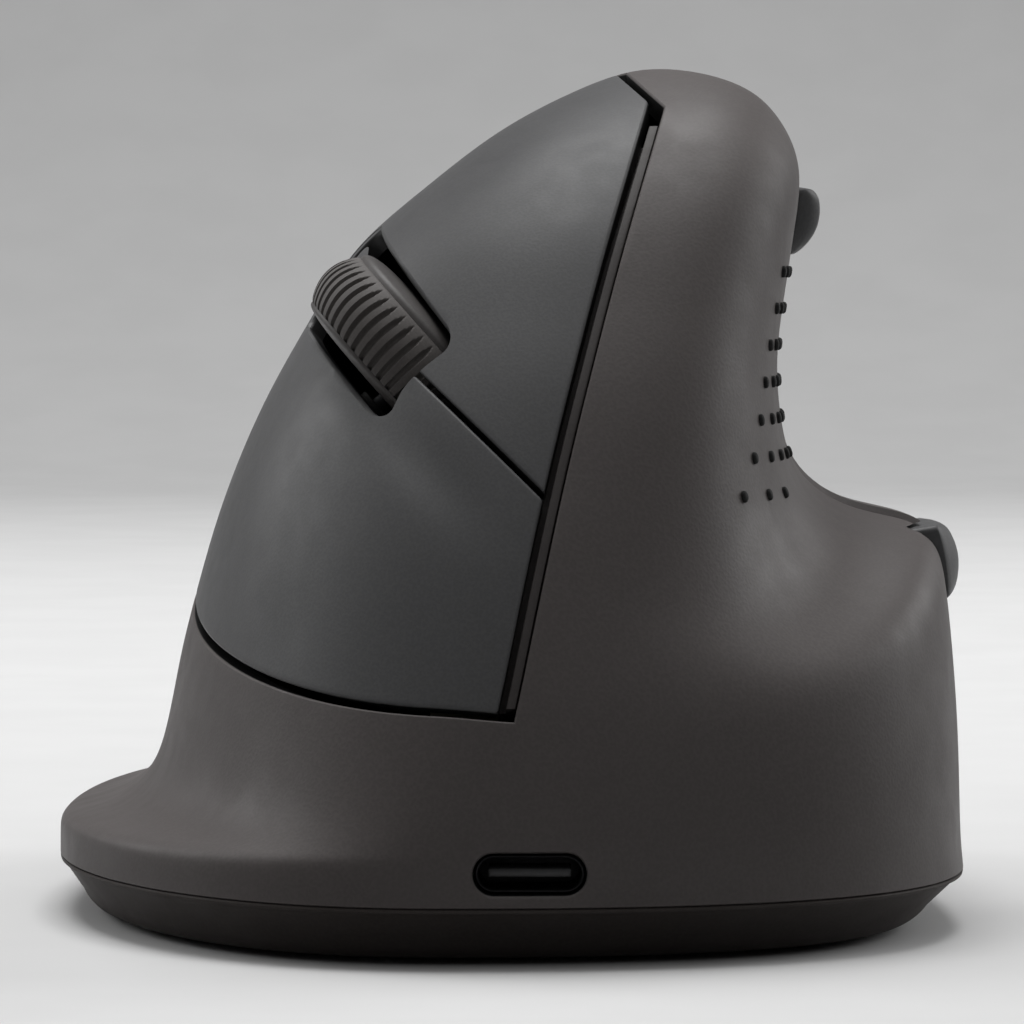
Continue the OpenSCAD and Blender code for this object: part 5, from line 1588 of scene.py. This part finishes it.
@dataclass
class NoseSocket:
    """Charging socket in the nose: shell, tongue and the hole for it."""

    x: float = 2.0
    z: float = 7.78
    width: float = 8.94
    height: float = 3.16
    wall: float = 0.3
    length: float = 7.3
    front: float = -54.9
    play: float = 0.1
    tongue_w: float = 6.69
    tongue_t: float = 0.7
    tongue_round: float = 0.12

    def prism(self, plan: MeshPlan, outline: Array, rows: Sequence[tuple[float, float]]) -> list[Array]:
        """Rows of a pill outline along the nose.

        Args:
            plan: Mesh to add to.
            outline: Closed outline in x and z about the socket's middle.
            rows: Distance from the nose plane and inset of each row.

        Returns:
            Indices of the rows.
        """
        out = []
        for y, pull in rows:
            ring = inset(outline, pull)
            deep = np.full(len(ring), y)
            out.append(plan.add(np.column_stack([self.x + ring[:, 0], deep, self.z + ring[:, 1]])))
        return out

    def hole_cutter(self, tree: BVHTree) -> bpy.types.Object:
        """Cutter for the hole in the nose."""
        flat = pill_outline(self.width + 2 * self.play, self.height + 2 * self.play)
        starts = np.column_stack([self.x + flat[:, 0], np.full(len(flat), -80.0), self.z + flat[:, 1]])
        loop, facing = surface_loop(tree, starts, np.array([0, 1.0, 0]))
        return plate_cutter("socket_hole", loop, facing, 0.35, 7.0)

    def build(self, dresser: Dresser) -> None:
        """Build the socket and put it on the housing."""
        plan = MeshPlan()
        y0, y1 = self.front, self.front + self.length
        outline = pill_outline(self.width, self.height)
        lip = self.wall / 2
        rows = [(y1, 0.0), (y0 + lip, 0.0), (y0 + 0.04, 0.07), (y0, lip), (y0 + 0.04, self.wall - 0.07),
                (y0 + lip, self.wall), (y1 - 1.0, self.wall)]
        rings = self.prism(plan, outline, rows)
        for a, b in zip(rings, rings[1:]):
            plan.band(a, b, flip=True)
        plan.cap(rings[0], flip=False)
        plan.cap(rings[-1], flip=True)
        dresser.place(plan.build("socket_shell", 50.0), Body.HOUSING, Slot.SOCKET, "usb_shell")
        plan = MeshPlan()
        blade = box_outline(self.tongue_w, self.tongue_t, self.tongue_round)
        rings = self.prism(plan, blade, [(y0 + 0.8, 0.1), (y0 + 0.9, 0.0), (y1 - 1.0, 0.0)])
        for a, b in zip(rings, rings[1:]):
            plan.band(a, b, flip=False)
        plan.cap(rings[0], flip=True)
        plan.cap(rings[-1])
        root = pill_outline(self.width - 2 * self.wall - 0.1, self.height - 2 * self.wall - 0.1)
        rings = self.prism(plan, root, [(y1 - 2.2, 0.1), (y1 - 2.1, 0.0), (y1 - 1.0, 0.0)])
        for a, b in zip(rings, rings[1:]):
            plan.band(a, b)
        plan.cap(rings[0], flip=True)
        plan.cap(rings[-1])
        dresser.place(plan.build("socket_tongue", 50.0), Body.HOUSING, Slot.SWITCH, "usb_tongue")


@dataclass
class BaseTray:
    """Chamfered base tray, with the places for feet, screws, sensor and slider."""

    loft: BodyLoft
    foot_h: float = 0.6
    chamfer: float = 3.8
    bevel: float = 0.8
    floor_t: float = 1.8
    wall: float = 3.0
    skew: float = 0.35
    steps: int = 300

    def ring(self, d: float, z: float) -> Array:
        """The seam outline moved inward by d, at height z."""
        t = (np.arange(self.steps) + 0.5) * 360 / self.steps
        p = self.loft.point(0, t)
        q = self.loft.point(0, t + 1) - self.loft.point(0, t - 1)
        n = unit(np.column_stack([q[:, 1], -q[:, 0]]))
        e = d * (1 - self.skew * (1 - np.cos(np.radians(t))) / 2)
        return np.column_stack([p[:, :2] - e[:, None] * n, np.full(len(p), z)])

    def tray(self) -> bpy.types.Object:
        """The tray as one closed mesh."""
        seam, foot = self.loft.seam, self.foot_h
        floor_z = foot + self.floor_t
        last = self.chamfer + 2 * self.bevel
        slope = (seam - foot - self.bevel) / self.chamfer
        profile = [(self.wall, floor_z), (self.wall, seam), (0.3, seam), (0.12, seam - 0.05),
                   (0.03, seam - 0.16), (0.07, seam - 0.32)]
        profile += [(d, seam - slope * d) for d in np.linspace(0.5, self.chamfer - 0.9, 8)]
        start = np.array([self.chamfer - 0.9, seam - slope * (self.chamfer - 0.9)])
        knee = np.array([self.chamfer + 0.1, foot + 0.25])
        end = np.array([last, foot])
        for f in np.linspace(0, 1, 9)[1:]:
            profile.append(tuple((1 - f) ** 2 * start + 2 * f * (1 - f) * knee + f * f * end))
        plan = MeshPlan()
        rows = [plan.add(self.ring(d, z)) for d, z in profile]
        for upper, lower in zip(rows, rows[1:]):
            plan.band(lower, upper)
        plan.fan(rows[0], np.array([0, 0, floor_z]))
        plan.fan(rows[-1], np.array([0, 0, foot]), flip=True)
        return plan.build("base_tray")


@dataclass
class FrontStrip:
    """Dark strip between the keys and the nose, with a raised web in the gap."""

    loft: BodyLoft
    gap: float = 1.5
    under: float = 1.2
    floor: float = 2.4
    thick: float = 1.2
    flange: float = 5.0
    flange_depth: float = 2.2
    levels: tuple[float, float] = (6.25, 15.02)
    web_depth: float = 0.38
    swing: float = 0.57
    play: float = 0.12
    round: float = 0.15

    def build(self, dresser: Dresser) -> None:
        """Build the strip and put it on the housing."""
        loft = self.loft
        u = np.linspace(*self.levels, 150)
        start = loft.nose_turn(u, -self.gap / 2 - self.under)
        near = loft.nose_turn(u, self.swing - self.gap / 2)
        far = loft.nose_turn(u, self.gap / 2 - self.play)
        last = loft.turn(u, far, self.flange)
        low, r = self.floor + self.thick, self.round
        ring = [(start, self.floor), (near, self.floor)]
        bend = np.radians([0, 30, 60, 90])
        ring += [(loft.turn(u, near, r * (1 - math.cos(a))), self.web_depth + r * (1 - math.sin(a)))
                 for a in bend]
        ring += [(loft.turn(u, far, -r * (1 - math.cos(a))), self.web_depth + r * (1 - math.sin(a)))
                 for a in bend[::-1]]
        ring += [(far, self.flange_depth), (last, self.flange_depth), (last, low), (start, low)]
        plan = MeshPlan()
        index = plan.add(np.stack([loft.inside(u, t, np.full(u.shape, d)) for t, d in ring], 1))
        plan.sheet(index, around=True)
        plan.cap(index[0], flip=True)
        plan.cap(index[-1])
        dresser.place(plan.build("gap_strip", 30.0), Body.HOUSING, Slot.FRAME, "front_strip")


def upright(name: str, outline: Array, rows: Sequence[tuple[float, float]],
            places: Sequence[tuple[float, float, float]], sharp: float = 38.0) -> bpy.types.Object:
    """Closed prisms with an upright axis, one at each place.

    Args:
        name: Name of the piece.
        outline: Closed counter-clockwise outline about the place.
        rows: Height and inset of each row, from the lowest up.
        places: x, y and turn in degrees of each prism.
        sharp: Angle in degrees from which an edge shades sharp.

    Returns:
        One object with all the prisms.
    """
    plan = MeshPlan()
    for x, y, turn in places:
        c, s = math.cos(math.radians(turn)), math.sin(math.radians(turn))
        rings = []
        for z, pull in rows:
            flat = inset(outline, pull) if pull else outline
            level = np.full(len(flat), z)
            rings.append(plan.add(np.column_stack([x + c * flat[:, 0] - s * flat[:, 1],
                                                   y + s * flat[:, 0] + c * flat[:, 1], level])))
        for lower, upper in zip(rings, rings[1:]):
            plan.band(lower, upper)
        plan.cap(rings[0], flip=True)
        plan.cap(rings[-1])
    return plan.build(name, sharp)


def circle_outline(radius: float, steps: int = 40) -> Array:
    """A counter-clockwise circle."""
    a = np.linspace(0, 2 * math.pi, steps, endpoint=False)
    return radius * np.column_stack([np.cos(a), np.sin(a)])


def box_outline(width: float, height: float, radius: float) -> Array:
    """A counter-clockwise rectangle with rounded corners."""
    w, h = width / 2, height / 2
    return rounded_outline([(-w, -h), (w, -h), (w, h), (-w, h)], radius, 0.8)


@dataclass
class Underside:
    """Glide feet, screws and slide switch, and their places in the base tray."""

    flat_z: float = 0.6
    feet: tuple[tuple[float, float, float], ...] = (
        (-26, -15, 84), (26.5, -20, -82), (-11.5, 42.5, 14), (6, 41, -18))
    foot_size: tuple[float, float, float] = (15.0, 7.0, 2.9)
    foot_sunk: float = 0.3
    case_screws: tuple[tuple[float, float, float], ...] = (
        (23.4444, 23.4394, 20), (-20.3872, 34.7491, 65), (-19.79, -35.5857, -10), (25.6995, -37.0337, 40))
    frame_screws: tuple[tuple[float, float, float], ...] = (
        (-12, -9, 35), (-12, 5.4992, 80), (2, 5.4992, -25), (9.5, -26.1968, 10))
    screw_tops: tuple[float, float] = (9.3, 7.3)
    head_r: float = 2.0
    head_h: float = 1.0
    cross: tuple[float, float] = (0.26, 1.15)
    sink: float = 0.2
    window: tuple[float, float, float, float] = (0.0, -21.0, 10.0, 7.0)
    slider: tuple[float, float] = (12.5, -14.0)
    travel: float = 2.5
    knob: tuple[float, float] = (4.0, 2.6)
    play: float = 0.3
    knob_tops: tuple[float, float, float] = (2.6, 3.4, 6.6)

    def cutters(self) -> list[bpy.types.Object]:
        """Cutters for the pockets and holes in the tray."""
        length, wide, r = self.foot_size
        below, flat = self.flat_z - 1, self.flat_z
        screws = self.case_screws + self.frame_screws
        seat = flat + self.sink + self.head_h
        x, y, window_l, window_w = self.window
        slot_l = self.knob[0] + self.travel + 2 * self.play
        flare = [(flat + 0.01, 0.0), (flat + 0.12, 0.14)]
        return [
            upright("foot_pockets", box_outline(length + 0.2, wide + 0.2, r + 0.1),
                    [(below, 0), (flat + self.foot_sunk, 0)], self.feet),
            upright("head_pockets", circle_outline(self.head_r + 0.34),
                    [(below, 0), (flat, 0.0), (flat + 0.16, 0.14), (seat, 0.14)], screws),
            upright("screw_holes", circle_outline(1.15), [(below, 0), (4.6, 0)], screws),
            upright("sensor_window", pill_outline(window_l + 0.5, window_w + 0.5),
                    [(below, 0), *((z, p + 0.11) for z, p in flare), (4.0, 0.25)], [(x, y, 0)]),
            upright("slider_slot", box_outline(slot_l + 0.5, self.knob[1] + 2 * self.play + 0.5, 0.5),
                    [(below, 0), *((z, p + 0.11) for z, p in flare), (4.0, 0.25)], [(*self.slider, 0)]),
        ]

    def screws(self, name: str, places: Sequence[tuple[float, float, float]], top: float) -> bpy.types.Object:
        """Screws with a cross recess in their heads.

        Args:
            name: Name of the piece.
            places: x, y and turn of each.
            top: Height of their tips.

        Returns:
            One object with all of them.
        """
        z, r = self.flat_z + self.sink, self.head_r
        rows = [(z, 0.34), (z + 0.04, 0.2), (z + 0.14, 0.06), (z + 0.3, 0), (z + self.head_h, 0),
                (z + self.head_h, r - 0.97), (top - 0.5, r - 0.97), (top, r - 0.5)]
        obj = upright(name, circle_outline(r), rows, places)
        a, b = self.cross
        cross = np.array([(a, -b), (a, -a), (b, -a), (b, a), (a, a), (a, b),
                          (-a, b), (-a, a), (-b, a), (-b, -a), (-a, -a), (-a, -b)])
        carve(obj, [upright("recess", cross, [(z - 1, 0), (z + 0.05, 0), (z + 0.6, 0.16)], places)])
        return obj

    def knob_piece(self) -> bpy.types.Object:
        """The slide switch's knob, with grip ridges."""
        x, y = self.slider[0] - self.travel / 2, self.slider[1]
        length, wide = self.knob
        z = self.flat_z + self.sink
        low, flange, lever = self.knob_tops
        plan_rows = [(z, 0.22), (z + 0.06, 0.08), (z + 0.2, 0), (low, 0), (low, -1.0), (flange, -1.0),
                     (flange, 0.6), (lever, 0.6)]
        obj = upright("power_knob", box_outline(length, wide, 0.25), plan_rows, [(x, y, 0)])
        grooves = [(x + d, y, 0) for d in (-1.2, -0.4, 0.4, 1.2)]
        groove = box_outline(0.36, wide + 1, 0.1)
        carve(obj, [upright("grooves", groove, [(z - 1, 0), (z, 0), (z + 0.3, 0.08)], grooves)])
        return obj

    def build(self, dresser: Dresser) -> None:
        """Build the pieces and put them on their bodies."""
        length, wide, r = self.foot_size
        rows = [(0, 0.5), (0.05, 0.24), (0.16, 0.08), (0.32, 0), (self.flat_z + self.foot_sunk, 0)]
        foot = upright("glide_pads", box_outline(length, wide, r), rows, self.feet)
        dresser.place(foot, Body.HOUSING, Slot.GLIDE, "glide_feet")
        case = self.screws("case_screw_set", self.case_screws, self.screw_tops[0])
        inner = self.screws("frame_screw_set", self.frame_screws, self.screw_tops[1])
        dresser.place(case, Body.HOUSING, Slot.METAL, "case_screws")
        dresser.place(inner, Body.HOUSING, Slot.METAL, "frame_screws")
        dresser.place(self.knob_piece(), Body.SLIDER, Slot.SWITCH, "power_slider")


@dataclass
class Studio:
    """Camera at the photograph's angle, pale floor and soft light."""

    target: tuple[float, float, float] = (0.57, 0.0, 34.5)
    distance: float = 511.0
    elevation: float = 2.5
    lens: float = 200.04
    sensor: float = 36.0

    def camera(self) -> None:
        """Create the camera."""
        data = bpy.data.cameras.new("camera")
        data.lens, data.sensor_width, data.sensor_fit = self.lens, self.sensor, "HORIZONTAL"
        data.clip_start, data.clip_end = 0.01, 20.0
        obj = bpy.data.objects.new("camera", data)
        e = math.radians(self.elevation)
        aim = Vector(self.target)
        obj.location = (aim + self.distance * Vector((0, -math.cos(e), math.sin(e)))) * MM
        obj.rotation_euler = (math.pi / 2 - e, 0, 0)
        bpy.context.scene.collection.objects.link(obj)
        bpy.context.scene.camera = obj

    @staticmethod
    def lamp(name: str, place: tuple[float, float, float], size: float, watts: float) -> None:
        """A square soft light aimed at the part.

        Args:
            name: Name of the light.
            place: Its place in metres.
            size: Side length in metres.
            watts: Power.
        """
        data = bpy.data.lights.new(name, "AREA")
        data.size, data.energy = size, watts
        obj = bpy.data.objects.new(name, data)
        obj.location = place
        obj.rotation_euler = (Vector((0, 0, 0.035)) - Vector(place)).to_track_quat("-Z", "Y").to_euler()
        bpy.context.scene.collection.objects.link(obj)

    @staticmethod
    def floor() -> None:
        """A pale sweep that keeps the part's shadow and throws little light back on it."""
        front, rear, bend, high, half = -1500.0, 900.0, 500.0, 2200.0, 2500.0
        turn = np.linspace(0, math.pi / 2, 24)
        path = [(front, 0.0), (rear, 0.0)]
        path += [(rear + bend * math.sin(a), bend - bend * math.cos(a)) for a in turn[1:]]
        path.append((rear + bend, high))
        plan = MeshPlan()
        rows = np.array([[(x, y, z) for x in (-half, half)] for y, z in path])
        plan.sheet(plan.add(rows))
        obj = plan.build("floor")
        material = bpy.data.materials.new("pale_floor")
        material.use_nodes = True
        tree = material.node_tree
        tree.nodes.clear()
        sheet = NodeSheet(tree)
        where = sheet.node("ShaderNodeTexCoord").outputs["Object"]
        tone = sheet.ramp(sheet.noise(where, 40.0, 3.0), 0.3, 0.7)
        pale = sheet.node("ShaderNodeBsdfDiffuse", {
            "Color": sheet.blend(tone, (0.66, 0.66, 0.66, 1), (0.68, 0.68, 0.68, 1))})
        dim = sheet.node("ShaderNodeBsdfDiffuse", {"Color": (0.16, 0.16, 0.16, 1)})
        ray = sheet.node("ShaderNodeLightPath")
        mirrored = sheet.math("MAXIMUM", ray.outputs["Is Glossy Ray"], ray.outputs["Is Transmission Ray"])
        seen = sheet.math("MAXIMUM", ray.outputs["Is Camera Ray"], mirrored)
        both = sheet.node("ShaderNodeMixShader", {0: seen, 1: dim.outputs[0], 2: pale.outputs[0]})
        out = sheet.node("ShaderNodeOutputMaterial")
        tree.links.new(both.outputs[0], out.inputs[0])
        obj.data.materials.append(material)

    @staticmethod
    def world() -> None:
        """Soft light from above that falls off to nearly none from below."""
        world = bpy.data.worlds.new("studio")
        world.use_nodes = True
        sheet = NodeSheet(world.node_tree)
        way = sheet.node("ShaderNodeTexCoord").outputs["Generated"]
        up = sheet.node("ShaderNodeSeparateXYZ", {0: way}).outputs[2]
        level = sheet.ramp(up, 0.0, 1.0, 0.03, 0.5)
        world.node_tree.links.new(level, world.node_tree.nodes["Background"].inputs["Strength"])
        world.node_tree.nodes["Background"].inputs["Color"].default_value = (1.0, 1.0, 1.0, 1.0)
        bpy.context.scene.world = world

    def build(self) -> None:
        """Set up the whole studio."""
        self.camera()
        self.floor()
        self.world()
        self.lamp("top_light", (-0.05, 0.25, 1.0), 0.7, 8.0)
        self.lamp("left_light", (-0.8, 0.4, 0.5), 0.6, 2.6)
        self.lamp("right_light", (0.8, 0.4, 0.45), 0.6, 3.6)
        bpy.context.scene.view_settings.view_transform = "Standard"


def main() -> None:
    """Build every piece in order."""
    logging.basicConfig(level=logging.INFO, format="%(name)s %(message)s")
    loft = BodyLoft()
    fingers = FingerFrame(loft)
    opening = KeyOpening(loft, fingers)
    dresser = Dresser()
    Studio().build()

    housing = Housing(loft, opening)
    shell = housing.shell()
    tree = search_tree(shell)
    thumb = ThumbSide(loft)
    socket = NoseSocket()
    carve(shell, [housing.opening_cutter(), *thumb.cutters(tree), socket.hole_cutter(tree)])
    # Opening walls, hole walls and the lining get the black painted shade.
    mark_painted_shade(shell, housing.skin(), housing.painted_shade_depth)
    dresser.place(shell, Body.HOUSING, Slot.BODY, "main_shell")

    FingerKeys(opening).build(dresser)
    ScrollWheel(fingers).build(dresser)
    thumb.build(dresser)
    socket.build(dresser)
    FrontStrip(loft).build(dresser)
    under = Underside()
    tray = BaseTray(loft).tray()
    carve(tray, under.cutters())
    dresser.place(tray, Body.HOUSING, Slot.BASE, "bottom_shell")
    under.build(dresser)
    dresser.dress_nodes()


if __name__ == "__main__":
    main()
